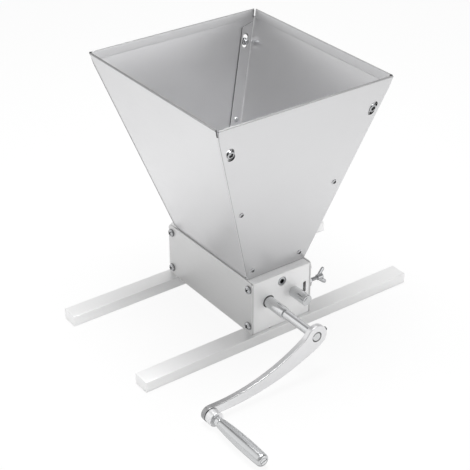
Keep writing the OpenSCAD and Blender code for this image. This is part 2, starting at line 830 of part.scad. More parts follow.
front_foot_bar();
rear_foot_bar();
foot_bar_screws();
front_end_plate();
rear_end_plate();
left_cover();
right_cover();
cover_screws();
hopper_front_wall();
hopper_rear_wall();
hopper_left_wall();
hopper_right_wall();
hopper_seam_rivets();
hopper_corner_screws();
hopper_corner_nuts();
hopper_mounting_screws();
hopper_mounting_nuts();
drive_shaft();
drive_roller();
front_drive_bush();
rear_drive_bush();
idler_axle();
idler_roller();
front_adjuster();
rear_adjuster();
front_wing_screw();
rear_wing_screw();
captive_nuts();
wing_flange_nuts();
crank_arm();
crank_set_screw();
handle_spindle();
handle_washer();
handle_collar();
handle_ferrule();
handle_grip();
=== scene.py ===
"""Malt mill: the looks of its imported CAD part, laid out as a Blender add-on and run as a script.

Shapes are worked out in millimetres, in the part's own frame: +X right, +Y rear, +Z up.
"""

import math
from collections import namedtuple

import bpy
import numpy as np
from bpy.props import FloatProperty, FloatVectorProperty, IntProperty, PointerProperty
from bpy.types import Operator, Panel, PropertyGroup
from mathutils import Matrix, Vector
from mathutils.geometry import delaunay_2d_cdt


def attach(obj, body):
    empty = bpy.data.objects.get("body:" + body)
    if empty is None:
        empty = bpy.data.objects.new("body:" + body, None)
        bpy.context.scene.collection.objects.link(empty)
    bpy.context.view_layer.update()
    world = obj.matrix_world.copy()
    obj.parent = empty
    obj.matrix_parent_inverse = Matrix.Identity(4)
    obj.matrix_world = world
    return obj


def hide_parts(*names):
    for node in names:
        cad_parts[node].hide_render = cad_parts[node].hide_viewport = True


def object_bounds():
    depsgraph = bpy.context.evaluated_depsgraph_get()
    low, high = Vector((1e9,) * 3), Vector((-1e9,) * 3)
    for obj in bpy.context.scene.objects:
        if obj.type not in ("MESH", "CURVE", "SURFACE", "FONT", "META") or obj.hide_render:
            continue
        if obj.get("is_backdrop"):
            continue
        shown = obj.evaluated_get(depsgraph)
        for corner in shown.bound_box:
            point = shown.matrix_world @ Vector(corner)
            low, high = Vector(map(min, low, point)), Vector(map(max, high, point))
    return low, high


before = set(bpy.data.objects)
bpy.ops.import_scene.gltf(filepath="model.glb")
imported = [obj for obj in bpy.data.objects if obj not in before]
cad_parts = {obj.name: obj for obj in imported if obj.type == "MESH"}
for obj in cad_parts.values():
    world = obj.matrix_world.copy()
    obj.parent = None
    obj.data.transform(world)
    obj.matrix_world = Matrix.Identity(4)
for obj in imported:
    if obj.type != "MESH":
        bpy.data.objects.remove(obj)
CAD_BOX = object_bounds()

bl_info = {
    "name": "Malt mill",
    "version": (1, 0, 0),
    "blender": (4, 5, 0),
    "location": "View3D > Sidebar > Malt mill",
    "description": "Shapes and finishes of a two-roller malt mill",
    "category": "Object",
}

MM = 0.001

# Sizes of the CAD part, in millimetres and degrees. Five are set for the looks instead, and differ
# from it by less than 1 mm: COVER_FOOT_CORNER, FLANGE_SLOT, CORNER_HEAD_H, FLANGE_T and WASHER_D
BAR_LENGTH, BAR_WIDTH, BAR_HEIGHT = 338, 20, 12
FOOT_SCREW_X, FOOT_HEAD_D = 14, 11
PITCH, PLATE_T, PLATE_W, BODY_H = 140, 12, 72, 61
BODY_TOP = BAR_HEIGHT + BODY_H
PLATE_FACE = PLATE_T / 2
COVER_T, COVER_CORNER, COVER_FOOT_CORNER = 2, 4, 0.9
COVER_FACE = PLATE_W / 2 + COVER_T
COVER_SCREW_D, COVER_SCREW_DEPTH, COVER_SCREW_INSET = 5, 10, 8.5
COVER_HEAD_D, COVER_HEAD_H = 9, 3
MOUNT_D, MOUNT_HEAD_D, MOUNT_HEAD_H, MOUNT_NUT_H, MOUNT_DROP = 6, 9.8, 5.6, 4, 9.4
RIM_W, RIM_D, HOPPER_H = 208, 223.4, 203
BODY_GAP, FOOT_LAP = PITCH - PLATE_T, 1.7
MOUTH_W, MOUTH_D = PLATE_W, BODY_GAP + 2 * FOOT_LAP
SHEET, SHEET_GAP, HEM_H, FLANGE_W, TAB_H = 1, 0.05, 9, 15.5, 14.5
NOTCH_W, NOTCH_DROP, HEM_INSET = 1.6, 12.7, 3
FLANGE_FOOT, FLANGE_DROP_CORNER, FLANGE_DROP_INNER = 3, 12.7, 16.3
FRONT_LEAN = math.atan((RIM_D - MOUTH_D) / 2 / HOPPER_H)
SIDE_LEAN = math.atan((RIM_W - MOUTH_W) / 2 / HOPPER_H)
FRONT_SLOPE = HOPPER_H / math.cos(FRONT_LEAN)
SIDE_SLOPE = HOPPER_H / math.cos(SIDE_LEAN)
SEAM = (SHEET + SHEET_GAP) / math.cos(FRONT_LEAN)
SEAM_LEAN = math.atan((RIM_W - MOUTH_W) / 2 / FRONT_SLOPE)
SLOT_INSET, SLOT_ROW = 9.2, FRONT_SLOPE - 32
WALL_SLOT, FLANGE_SLOT = (8.2, 15.2), (6.2, 15.4)
RIVET_INSETS, RIVET_ROWS = (7.8, 12.4), (12, FRONT_SLOPE - 113)
RIVET_D, RIVET_HEAD_D, RIVET_HEAD_H, RIVET_TAIL_H = 3.2, 5.6, 1.5, 1
CORNER_D, CORNER_HEAD_D, CORNER_HEAD_H, CORNER_END = 4, 8, 1.9, 1.2
CORNER_NUT_D, CORNER_NUT_H = 7, 1.8
AXIS_Z = 45.7
DRIVE_X, ADJUSTER_X, ECCENTRICITY, ECCENTRIC_ANGLE = -16.9, 15.5, 1.1, math.radians(131)
IDLER_X = ADJUSTER_X + ECCENTRICITY * math.cos(ECCENTRIC_ANGLE)
IDLER_Z = AXIS_Z + ECCENTRICITY * math.sin(ECCENTRIC_ANGLE)
ROLLER_D, ROLLER_LENGTH = 31, BODY_GAP - 2 * (SHEET_GAP + SHEET + 0.4)
SHAFT_D, NOSE_D, AXLE_D, DISC_D = 12, 9.5, 10, 22
WING_D, WING_STANDOFF, WING_TILT, WING_TIP_GAP = 4, 13, 17, 0.35
FLANGE_D, FLANGE_T, FLANGE_NUT_D, FLANGE_NUT_H = 12, 1.3, 7.8, 4
CRANK_Y = -PLATE_FACE - 78.2
CRANK_RADIUS, ARM_T, HUB_D, ARM_END_D = 132, 6, 25, 16.4
CRANK_ANGLE = math.pi + math.asin((AXIS_Z - ARM_END_D / 2 - 0.8) / CRANK_RADIUS)
# Share of the arm's length where an arc is deepest, its dip there, and its rise at the arm's end
OUTER_ARC, INNER_ARC = (0.342, 17.3, -1.2), (0.518, 2.5, 8.7)
HANDLE_X = DRIVE_X + CRANK_RADIUS * math.cos(CRANK_ANGLE)
HANDLE_Z = AXIS_Z + CRANK_RADIUS * math.sin(CRANK_ANGLE)
SPINDLE_D, WASHER_D, WASHER_T, COLLAR_D, COLLAR_H = 6, 15.8, 0.6, 15.4, 8.4
FERRULE_LENGTH, GRIP_LENGTH, GRIP_START_D, GRIP_MID_D, GRIP_END_R = 6.8, 66, 10.4, 14, 3
GRIP_GAP = 0.4
GRIP_Y = CRANK_Y - WASHER_T - COLLAR_H - FERRULE_LENGTH - GRIP_GAP

# How much wider holes are than what goes through them, and values that only the looks have: a
# socket's corner diameter, how strong the painted dark reflection along a fold's top is, the linear
# tone that cut edges and painted shade darken to, a sharp edge's angle in degrees, and the floor's
# and the lamp's widths in metres and the lamp's power in watts
SCREW_PLAY, HUB_PLAY, SPINDLE_PLAY = 0.3, 0.6, 0.05
SOCKET_D, FOLD_PAINTED_SHADE, CUT_AND_SHADE_TONE, SHARP_ANGLE = 5.4, 0.48, 0.02, 40
FLOOR_M, LAMP_M, LAMP_W = 8, 0.55, 14.5

# Rows of each basis are the directions of a shape's own X, Y and Z
UPRIGHT = np.eye(3)
TO_FRONT = np.array([[1, 0, 0], [0, 0, 1], [0, -1, 0]])
TO_REAR = np.array([[1, 0, 0], [0, 0, -1], [0, 1, 0]])
TO_RIGHT = np.array([[0, 1, 0], [0, 0, 1], [1, 0, 0]])
TO_LEFT = np.array([[0, -1, 0], [0, 0, 1], [-1, 0, 0]])


def linear(code):
    """Linear red, green and blue of an sRGB hex colour: c / 12.92 up to 0.04045, and above it
    ((c + 0.055) / 1.055) ^ 2.4."""
    c = np.array([int(code[i : i + 2], 16) / 255 for i in (0, 2, 4)])
    return tuple(np.where(c <= 0.04045, c / 12.92, ((c + 0.055) / 1.055) ** 2.4).tolist())


def in_mm(name, description, millimetres):
    """A property for a length, whose default is given in millimetres."""
    default = millimetres * MM
    return FloatProperty(name=name, description=description, default=default, unit="LENGTH")


def in_hex(name, description, code):
    """A property for a tone, whose default is given as an sRGB hex colour."""
    default = linear(code)
    return FloatVectorProperty(name=name, description=description, default=default, subtype="COLOR")


class MaltMillSizes(PropertyGroup):
    sheet_edge: in_mm("Sheet edge rounding", "Radius of the hopper sheet's cut edges", 0.15)
    sheet_bend: in_mm("Sheet bend", "Outer radius where the hopper's corners are bent", 2.2)
    cover_edge: in_mm("Cover edge rounding", "Radius of the side covers' edges", 0.5)
    bar_edge: in_mm("Bar edge rounding", "Radius of the foot bars' edges", 0.6)
    arm_edge: in_mm("Arm edge rounding", "Radius of the crank arm's edges", 0.8)
    knurl_count: IntProperty(
        name="Knurls", description="Number of knurls round each roller", default=48, min=12, max=80
    )
    knurl_depth: in_mm("Knurl depth", "Depth of the rollers' diamond knurling", 0.7)
    thread_pitch: in_mm("Thread pitch", "Pitch of the wing screws' thread", 0.7)


class MaltMillFinishes(PropertyGroup):
    hopper: in_hex("Hopper sheet", "Tone of the brushed stainless sheet", "DCDCDD")
    plate: in_hex("End plates", "Tone of the satin aluminium plates", "F8F8F8")
    cover: in_hex("Side covers", "Tone of the brushed covers", "D8D8D8")
    bar: in_hex("Foot bars", "Tone of the drawn aluminium bars", "F1F1F1")
    shaft: in_hex("Shafts", "Tone of the turned steel", "D6D7D8")
    roller: in_hex("Rollers", "Tone of the knurled steel", "9C9EA0")
    bush: in_hex("Bushes", "Tone of the sintered bushes", "5A5A5B")
    crank: in_hex("Crank arm", "Tone of the plated crank arm", "E8E8E9")
    grip: in_hex("Grip", "Tone of the polished grip", "C6C7C8")
    bright: in_hex("Rivets", "Tone of the zinc-plated rivets", "CFD0D2")
    screw: in_hex("Screws", "Tone of the nickel-plated screws and nuts", "BABBBD")
    dark: in_hex("Dark fasteners", "Tone of the blackened screws", "48494B")


# Shapes: points, and faces that point outwards

Shape = namedtuple("Shape", "points quads tris marks")


def made(points, quads=(), tris=(), marks=0.0):
    """A shape from its parts, as arrays. A point's mark says how far its colour is darkened, from 0
    to 1: cut edges, and painted shade in recesses, gaps and round the feet of heads."""
    points = np.asarray(points, float).reshape(-1, 3)
    return Shape(
        points,
        np.asarray(quads, int).reshape(-1, 4),
        np.asarray(tris, int).reshape(-1, 3),
        np.broadcast_to(np.asarray(marks, float), len(points)),
    )


def joined(*shapes):
    """One shape of several: each one's faces count on from the points of those before it."""
    starts = np.cumsum([0] + [len(s.points) for s in shapes[:-1]])
    return made(
        np.concatenate([s.points for s in shapes]),
        np.concatenate([s.quads + n for s, n in zip(shapes, starts)]),
        np.concatenate([s.tris + n for s, n in zip(shapes, starts)]),
        np.concatenate([s.marks for s in shapes]),
    )


def placed(shape, basis=UPRIGHT, origin=(0, 0, 0)):
    """A shape set in the part: point = own x, y, z times the basis rows, plus the origin. A mirror
    basis turns its faces over."""
    points = shape.points @ np.asarray(basis, float) + np.asarray(origin, float)
    if np.linalg.det(basis) < 0:
        return made(points, shape.quads[:, ::-1], shape.tris[:, ::-1], shape.marks)
    return made(points, shape.quads, shape.tris, shape.marks)


def both_ends(shape):
    """A shape and its mirror image across the body's middle: y becomes the plates' pitch - y."""
    return joined(shape, placed(shape, np.diag([1, -1, 1]), (0, PITCH, 0)))


def spin(angle):
    """A basis turned about Z: its X is (cos, sin, 0) and its Y is (-sin, cos, 0)."""
    c, s = math.cos(angle), math.sin(angle)
    return np.array([[c, s, 0], [-s, c, 0], [0, 0, 1]])


def angles(count):
    """Even angles round a circle, from 0."""
    return np.linspace(0, 2 * np.pi, count, endpoint=False)


def box(left, low, right, high):
    """A rectangle's corners, counterclockwise from its lower left one."""
    return [(left, low), (right, low), (right, high), (left, high)]


def skin(rings, ends="fan", loop=False, marks=0.0):
    """Rings of points, each joined to the next by quads. Along a ring crossed with the way to the
    next ring points outwards. Ends: a fan to the ring's mean point, a fold that joins its first
    half to its second, or open. Loop joins the last ring to the first. Marks are one for all, one
    a ring, or one a point."""
    rings = np.asarray(rings, float)
    rows, count = rings.shape[:2]
    index = np.arange(rows * count).reshape(rows, count)
    after = np.roll(index, -1, axis=1)
    nearer, farther = (index, np.roll(index, -1, axis=0)) if loop else (index[:-1], index[1:])
    corners = [nearer, np.roll(nearer, -1, axis=1), np.roll(farther, -1, axis=1), farther]
    quads = [np.stack(corners, -1).reshape(-1, 4)]
    points, tris = [rings.reshape(-1, 3)], []
    marks = np.asarray(marks, float)
    marks = np.broadcast_to(marks[:, None] if marks.ndim == 1 else marks, (rows, count))
    levels = [marks.reshape(-1)]
    if ends == "fan" and not loop:
        points += [rings[0].mean(0)[None], rings[-1].mean(0)[None]]
        levels += [marks[:1, 0], marks[-1:, 0]]
        first, last = np.full(count, rows * count), np.full(count, rows * count + 1)
        tris = [
            np.stack([after[0], index[0], first], -1),
            np.stack([index[-1], after[-1], last], -1),
        ]
    if ends == "fold" and not loop:
        i = np.arange(count // 2 - 1)
        sides = [i, i + 1, count - 2 - i, count - 1 - i]
        quads.append(np.stack([index[0][s] for s in sides[::-1]], -1))
        quads.append(np.stack([index[-1][s] for s in sides], -1))
    tris = np.concatenate(tris) if tris else ()
    return made(np.concatenate(points), np.concatenate(quads), tris, np.concatenate(levels))


def round_skin(r, a, z, **settings):
    """A skin of rings round Z, from radii, angles and heights: (r cos a, r sin a, z)."""
    return skin(np.stack([r * np.cos(a), r * np.sin(a), z + 0 * a], -1), **settings)


def revolved(profile, count=96, **settings):
    """Rows of (radius, height), from low to high, carried round Z: (r cos a, r sin a, h)."""
    r, h = np.asarray(profile, float).T[:, :, None]
    return round_skin(r, angles(count), h, **settings)


def rounded(corners, radii, closed=True, steps=5):
    """A polygon whose corners are arcs. Each arc starts radius x tan(turn / 2) before its corner,
    and its points are the centre plus the first spoke turned evenly through the corner's turn. An
    open path keeps its two end points."""
    p = np.asarray(corners, float)
    r = np.broadcast_to(np.asarray(radii, float), len(p))
    before, after = p - np.roll(p, 1, 0), np.roll(p, -1, 0) - p
    before = before / np.linalg.norm(before, axis=1)[:, None]
    after = after / np.linalg.norm(after, axis=1)[:, None]
    cross = before[:, 0] * after[:, 1] - before[:, 1] * after[:, 0]
    turn = np.arctan2(cross, (before * after).sum(1))
    left = np.stack([-before[:, 1], before[:, 0]], -1) * np.sign(turn)[:, None]
    centre = p - before * (r * np.tan(abs(turn) / 2))[:, None] + left * r[:, None]
    a = turn[:, None] * np.linspace(0, 1, steps + 1)
    c, s = np.cos(a), np.sin(a)
    x, y = -left[:, :1], -left[:, 1:]
    arcs = centre[:, None] + r[:, None, None] * np.stack([x * c - y * s, x * s + y * c], -1)
    if closed:
        return arcs.reshape(-1, 2)
    return np.concatenate([p[:1], arcs[1:-1].reshape(-1, 2), p[-1:]])


def circle(d, centre=(0, 0), count=48):
    """Centre + d/2 (cos a, sin a)."""
    a = angles(count)
    return np.asarray(centre, float) + d / 2 * np.stack([np.cos(a), np.sin(a)], -1)


def stadium(size, centre, lean, steps=12):
    """A slot with round ends, of a width and a length: a circle whose upper half is moved up and
    lower half down, turned clockwise by the lean."""
    width, length = size
    a = np.concatenate([np.linspace(0, np.pi, steps), np.linspace(np.pi, 2 * np.pi, steps)])
    shift = np.repeat([1, -1], steps) * (length - width) / 2
    x, y = width / 2 * np.cos(a), width / 2 * np.sin(a) + shift
    c, s = math.cos(lean), math.sin(lean)
    return np.asarray(centre, float) + np.stack([x * c + y * s, y * c - x * s], -1)


def inset(loop, distance):
    """A closed loop moved to its left: by distance x (n1 + n2) / (1 + n1.n2), with n1 and n2 the
    left normals of the edges before and after each point."""
    after = np.roll(loop, -1, 0) - loop
    after = after / np.linalg.norm(after, axis=1)[:, None]
    n1, n2 = (np.stack([-e[:, 1], e[:, 0]], -1) for e in (np.roll(after, 1, 0), after))
    return loop + distance * (n1 + n2) / (1 + (n1 * n2).sum(1))[:, None]


def filled(points, links):
    """The area between closed loops, in triangles that turn left. A triangle stays where a line
    from its middle to one side crosses the loops an odd number of times."""
    found = delaunay_2d_cdt(points.tolist(), links.tolist(), [], 1, 1e-7)
    source = np.array([ids[0] for ids in found[3]])
    tris = source[np.array(found[2])]
    x, y = points[tris].mean(1).T[:, :, None]
    (x0, y0), (x1, y1) = points[links[:, 0]].T, points[links[:, 1]].T
    rise = np.where(y1 == y0, 1, y1 - y0)
    crossed = ((y0 > y) != (y1 > y)) & (x < x0 + (y - y0) / rise * (x1 - x0))
    tris = tris[crossed.sum(1) % 2 == 1]
    p, q, r = (points[tris[:, i]] for i in range(3))
    area = (q - p)[:, 0] * (r - p)[:, 1] - (q - p)[:, 1] * (r - p)[:, 0]
    return np.where(area[:, None] > 0, tris, tris[:, ::-1])


def plate(outline, holes=(), bottom=0.0, top=1.0, edge=0.2, steps=3, cut_and_shade=(0, 0)):
    """A flat plate. Its rounded edge, edge (1 - sin a) inside the loop and edge (1 - cos a) from
    the face, is carried along the outline and every hole, and each face is filled between the
    innermost rings. The last argument darkens the outline's and the holes' rounded edges, as cut
    metal and as painted shade in gaps, slots and holes."""
    a = np.linspace(0, np.pi / 2, steps + 1)
    inward, rise = edge * (1 - np.sin(a)), edge * (1 - np.cos(a))
    inward = np.concatenate([inward, inward[::-1]])
    heights = np.concatenate([bottom + rise, (top - rise)[::-1]])
    loops = [np.asarray(outline, float)] + [np.asarray(h, float)[::-1] for h in holes]
    cut = np.concatenate([[0], np.ones(len(heights) - 2), [0]])
    bands, low, high, flat, links, start, total = [], [], [], [], [], 0, 0
    for i, loop in enumerate(loops):
        moved = np.stack([inset(loop, d) for d in inward])
        level = np.broadcast_to(heights[:, None, None], moved.shape[:2] + (1,))
        marks = np.multiply.outer(cut, cut_and_shade[min(i, 1)])
        bands.append(skin(np.concatenate([moved, level], -1), ends="open", marks=marks))
        n = len(loop)
        low.append(start + np.arange(n))
        high.append(start + (len(heights) - 1) * n + np.arange(n))
        flat.append(moved[0])
        links.append(np.stack([total + np.arange(n), total + np.roll(np.arange(n), -1)], -1))
        start += len(heights) * n
        total += n
    flat, low, high, links = (np.concatenate(x) for x in (flat, low, high, links))
    tris, body = filled(flat, links), joined(*bands)
    faces = np.concatenate([high[tris], low[tris[:, ::-1]]])
    return made(body.points, body.quads, faces, body.marks)


def turned_ring(outer, bore, start, end, edge=0.3):
    """A ring along Z: its rounded section, closed round the bore."""
    corners = box(bore / 2, start, outer / 2, end)
    return revolved(rounded(corners, edge, steps=3), loop=True)


def cross_recess(a, length=5.2, width=1.3):
    """Distance from the axis to a cross's outline: the farther of its two bars."""
    c, s = abs(np.cos(a)) + 1e-9, abs(np.sin(a)) + 1e-9
    along = np.minimum(length / 2 / c, width / 2 / s)
    across = np.minimum(length / 2 / s, width / 2 / c)
    return np.maximum(along, across)


def hexagon(a, d=SOCKET_D):
    """Distance from the axis to a hexagon's outline of corner diameter d: apothem / cos(a folded to
    +-30 degrees)."""
    fold = np.mod(a, np.pi / 3) - np.pi / 6
    return d / 2 * math.cos(np.pi / 6) / np.cos(fold)


def screw(d, h, shank_d, shank, power, recess, depth, dark=1.0, side=0.0):
    """A headed screw along Z, its head standing on Z = 0. The head is a superellipse, height =
    h (1 - (r/R)^p)^(1/p), from the rim in to the recess outline, whose walls lean in to a lower
    floor. Dark paints shade into the recess, and side paints a contact shadow round the foot of
    the head."""
    count, rows, taper = 96, 9, 0.75
    a, flat, s = angles(count), np.ones(count), shank_d / 2
    hole = recess(a)
    share = np.linspace(0, 1, rows)[:, None] ** 1.8
    r = d / 2 * (1 - share) + hole * share
    z = h * (1 - np.minimum(r / (d / 2), 1) ** power) ** (1 / power)
    r = np.stack([0.8 * s * flat, s * flat, s * flat, *r, taper * hole, 0.4 * taper * hole])
    floor = (z[-1].min() - depth) * flat
    z = np.stack([-shank * flat, (0.2 * s - shank) * flat, 0 * flat, *z, floor, floor])
    # The recess has its own upper ring, so that its painted shade starts at the rim
    r, z = np.insert(r, -2, 0.98 * r[-3], 0), np.insert(z, -2, z[-3] - 0.1, 0)
    marks = [0, 0, side, side, side, *np.zeros(len(r) - 8), dark, dark, 0.3 * dark]
    return round_skin(r, a, z, marks=marks)


def threaded(d, start, end, pitch, depth):
    """A threaded rod along Z: radius = d/2 - depth x |2 frac(h / pitch - a / turn) - 1|."""
    count, rows_per_turn = 24, 8
    a = angles(count)
    h = np.linspace(start, end, max(2, int((end - start) / pitch * rows_per_turn)))[:, None]
    wave = abs(2 * np.mod(h / pitch - a / (2 * np.pi), 1) - 1)
    return round_skin(d / 2 - depth * wave, a, h)


def nut(d, h, bore):
    """A hexagon nut along Z: its rims fall 0.58 mm for each mm past the inscribed circle, and it is
    closed round the bore."""
    a = angles(96)
    flat, out, inner = np.ones(len(a)), hexagon(a, d), d / 2 * math.cos(np.pi / 6)
    drop = 0.58 * (out - inner)
    hole, face = bore / 2 * flat, 0.97 * inner * flat
    z = [0 * flat, 0 * flat, drop, h - drop, h * flat, h * flat]
    return round_skin(np.stack([hole, face, out, out, face, hole]), a, np.stack(z), loop=True)


# Finishes


def add(tree, kind, links=None, values=None, **settings):
    """Adds a node. Links give inputs the outputs they take, values set inputs by number, and
    settings name inputs or the node's own properties."""
    node = tree.nodes.new(kind)
    for key, value in settings.items():
        label = key.replace("_", " ")
        if label in node.inputs:
            node.inputs[label].default_value = value
        else:
            setattr(node, key, value)
    for key, value in (values or {}).items():
        node.inputs[key].default_value = value
    for key, output in (links or {}).items():
        tree.links.new(output, node.inputs[key])
    return node


def bare_tree(owner):
    """The emptied node tree of a material or world."""
    owner.use_nodes = True
    owner.node_tree.nodes.clear()
    return owner.node_tree


def metal(
    name, tone, roughness, grain, spread=0.05, relief=0.004, cloud=0.03, cloud_size=60, cut_and_shade=0.0
):
    """A bare metal. Marks with the grain's length in millimetres, one for all or one each along X,
    Y and Z, vary its roughness by the spread and lift it by the relief in millimetres, and slow
    clouds vary its tone. The last argument is the share by which marked points are darkened: cut
    edges, and painted shade in recesses, gaps and round the feet of heads."""
    found = bpy.data.materials.get(name)
    if found:
        return found
    material = bpy.data.materials.new(name)
    tree = bare_tree(material)
    place = add(tree, "ShaderNodeTexCoord").outputs["Object"]
    scales = (1 / (np.broadcast_to(size, 3) * MM) for size in (grain, cloud_size))
    marks, slow = (add(tree, "ShaderNodeMapping", {"Vector": place}, Scale=s) for s in scales)
    fine = add(
        tree, "ShaderNodeTexNoise", {"Vector": marks.outputs[0]}, Scale=1, Detail=3, Roughness=0.6
    ).outputs["Fac"]
    clouds = add(
        tree, "ShaderNodeTexNoise", {"Vector": slow.outputs[0]}, Scale=1, Detail=2, Roughness=0.5
    ).outputs["Fac"]
    rough = add(
        tree, "ShaderNodeMapRange", {"Value": fine},
        From_Min=0.3, From_Max=0.7, To_Min=roughness - spread, To_Max=roughness + spread,
    )
    low = [c * (1 - cloud) for c in tone] + [1]
    high = [min(1, c * (1 + cloud)) for c in tone] + [1]
    shade = add(tree, "ShaderNodeMix", {0: clouds}, {6: low, 7: high}, data_type="RGBA")
    # Marked points are darkened towards a near-black tone: cut edges, and painted shade in
    # recesses, gaps and round heads' feet
    cut = add(tree, "ShaderNodeAttribute", attribute_name="cut_edge_and_painted_shade").outputs["Fac"]
    amount = add(tree, "ShaderNodeMath", {0: cut}, {1: cut_and_shade}, operation="MULTIPLY")
    darker = add(
        tree, "ShaderNodeMix", {0: amount.outputs[0], 6: shade.outputs[2]},
        {7: [CUT_AND_SHADE_TONE] * 3 + [1]}, data_type="RGBA",
    )
    bump = add(tree, "ShaderNodeBump", {"Height": fine}, Strength=1, Distance=relief * MM)
    shader = add(
        tree, "ShaderNodeBsdfPrincipled",
        {
            "Base Color": darker.outputs[2],
            "Roughness": rough.outputs[0],
            "Normal": bump.outputs[0],
        },
        Metallic=1,
    )
    add(tree, "ShaderNodeOutputMaterial", {"Surface": shader.outputs[0]})
    return material


def finishes():
    """Every finish of the mill, made once, by the slot that takes it. Real brushing, blasting,
    drawing and turning marks are 0.05 to 0.2 mm wide, and are drawn wider so that they show."""
    tone = bpy.context.scene.malt_mill_finishes
    return {
        # Rolled stainless sheet with a fine level brushing: a soft, even sheen
        "hopper_steel": metal(
            "Brushed stainless sheet", tone.hopper, roughness=0.33, grain=(25, 25, 0.35),
            spread=0.04, relief=0.001, cloud=0.02, cut_and_shade=0.97,
        ),
        # Milled aluminium, blasted to an even satin: a pale, nearly matt face
        "plate_metal": metal(
            "Blasted aluminium plate", tone.plate, roughness=0.6, grain=0.5,
            spread=0.06, relief=0.006,
        ),
        # Rolled aluminium sheet brushed along its length: a dull sheen with faint level lines
        "cover_metal": metal(
            "Brushed aluminium sheet", tone.cover, roughness=0.5, grain=(25, 25, 0.4),
            relief=0.003, cloud=0.02,
        ),
        # Drawn aluminium bar: long faint lines along the bar
        "bar_metal": metal(
            "Drawn aluminium bar", tone.bar, roughness=0.5, grain=(50, 0.6, 0.6), cloud=0.02
        ),
        # Steel turned on a lathe: rings round the axis, with a sharp highlight along it
        "shaft_steel": metal(
            "Turned steel", tone.shaft, roughness=0.22, grain=(8, 0.3, 8),
            spread=0.06, relief=0.002,
        ),
        # Hardened steel with cut knurls: small glints on a grey, slightly uneven ground
        "roller_steel": metal(
            "Knurled hardened steel", tone.roller, roughness=0.3, grain=0.8,
            spread=0.1, relief=0.01, cloud=0.1, cloud_size=10,
        ),
        # Sintered bearing metal: oily, dark and grainy
        "bush_metal": metal(
            "Sintered bearing metal", tone.bush, roughness=0.45, grain=0.4,
            spread=0.1, relief=0.01, cloud=0.1, cloud_size=5,
        ),
        # Satin nickel plating on a flat bar: soft broad reflections
        "crank_steel": metal(
            "Satin nickel plate", tone.crank, roughness=0.34, grain=0.7, cut_and_shade=0.9
        ),
        # Steel polished along its length: clear streaks from end to end
        "grip_steel": metal(
            "Polished steel", tone.grip, roughness=0.2, grain=(0.6, 20, 0.6),
            spread=0.04, relief=0.001,
        ),
        # Bright zinc plating: small clear highlights
        "bright_fastener": metal(
            "Zinc-plated steel", tone.bright, roughness=0.24, grain=0.5,
            spread=0.06, cloud=0.05, cloud_size=6, cut_and_shade=0.9,
        ),
        # Bright nickel plating: a little greyer than zinc, and sharper
        "nickel_fastener": metal(
            "Nickel-plated steel", tone.screw, roughness=0.2, grain=0.5,
            cloud=0.05, cloud_size=6, cut_and_shade=0.95,
        ),
        # Chemically blackened steel: a dark, oily shine
        "dark_fastener": metal(
            "Blackened steel", tone.dark, roughness=0.34, grain=0.5,
            spread=0.08, relief=0.006, cloud=0.08, cloud_size=6,
        ),
    }


def piece(name, shape, body, slot, *nodes):
    """A finished object, smooth but for sharp edges, with its flat faces kept flat. It rides on a
    body, takes a slot's finish and stands for CAD nodes."""
    mesh = bpy.data.meshes.new(name)
    faces = shape.quads.tolist() + shape.tris.tolist()
    mesh.from_pydata((shape.points * MM).tolist(), [], faces)
    # Each point's share of darkening: cut edges, and painted shade in recesses, gaps and round
    # heads' feet
    cut_and_shade = mesh.attributes.new("cut_edge_and_painted_shade", "FLOAT", "POINT")
    cut_and_shade.data.foreach_set("value", shape.marks.astype(np.float32))
    mesh.shade_smooth()
    mesh.set_sharp_from_angle(angle=math.radians(SHARP_ANGLE))
    mesh.materials.append(finishes()[slot])
    obj = bpy.data.objects.new(name, mesh)
    bpy.context.scene.collection.objects.link(obj)
    obj.modifiers.new("Weighted normals", "WEIGHTED_NORMAL").keep_sharp = True
    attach(obj, body)
    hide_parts(*nodes)


def finish_nodes(slot, *names):
    """Gives carried-over CAD nodes their finish."""
    for name in names:
        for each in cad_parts[name].material_slots:
            each.material = finishes()[slot]


# Hopper


def wall_frame(turn, half_depth, lean):
    """Basis and origin of a wall's own frame: X across, Y up the slope, Z out of the outer face.
    The wall leans out by the lean, stands half_depth from the middle, and is turned about Z."""
    c, s = math.cos(lean), math.sin(lean)
    own, about = np.array([[1, 0, 0], [0, -s, c], [0, -c, -s]]), spin(turn)
    return own @ about, np.array([0, PITCH / 2, BODY_TOP]) + np.array([0, -half_depth, 0]) @ about


def half_at(y, bottom, top, slope):
    """Half width of a wall at a height up its slope."""
    return bottom + (top - bottom) * y / slope


def front_half_at(y):
    """Half width of the front wall at a height up its slope."""
    return half_at(y, MOUTH_W / 2, RIM_W / 2, FRONT_SLOPE)


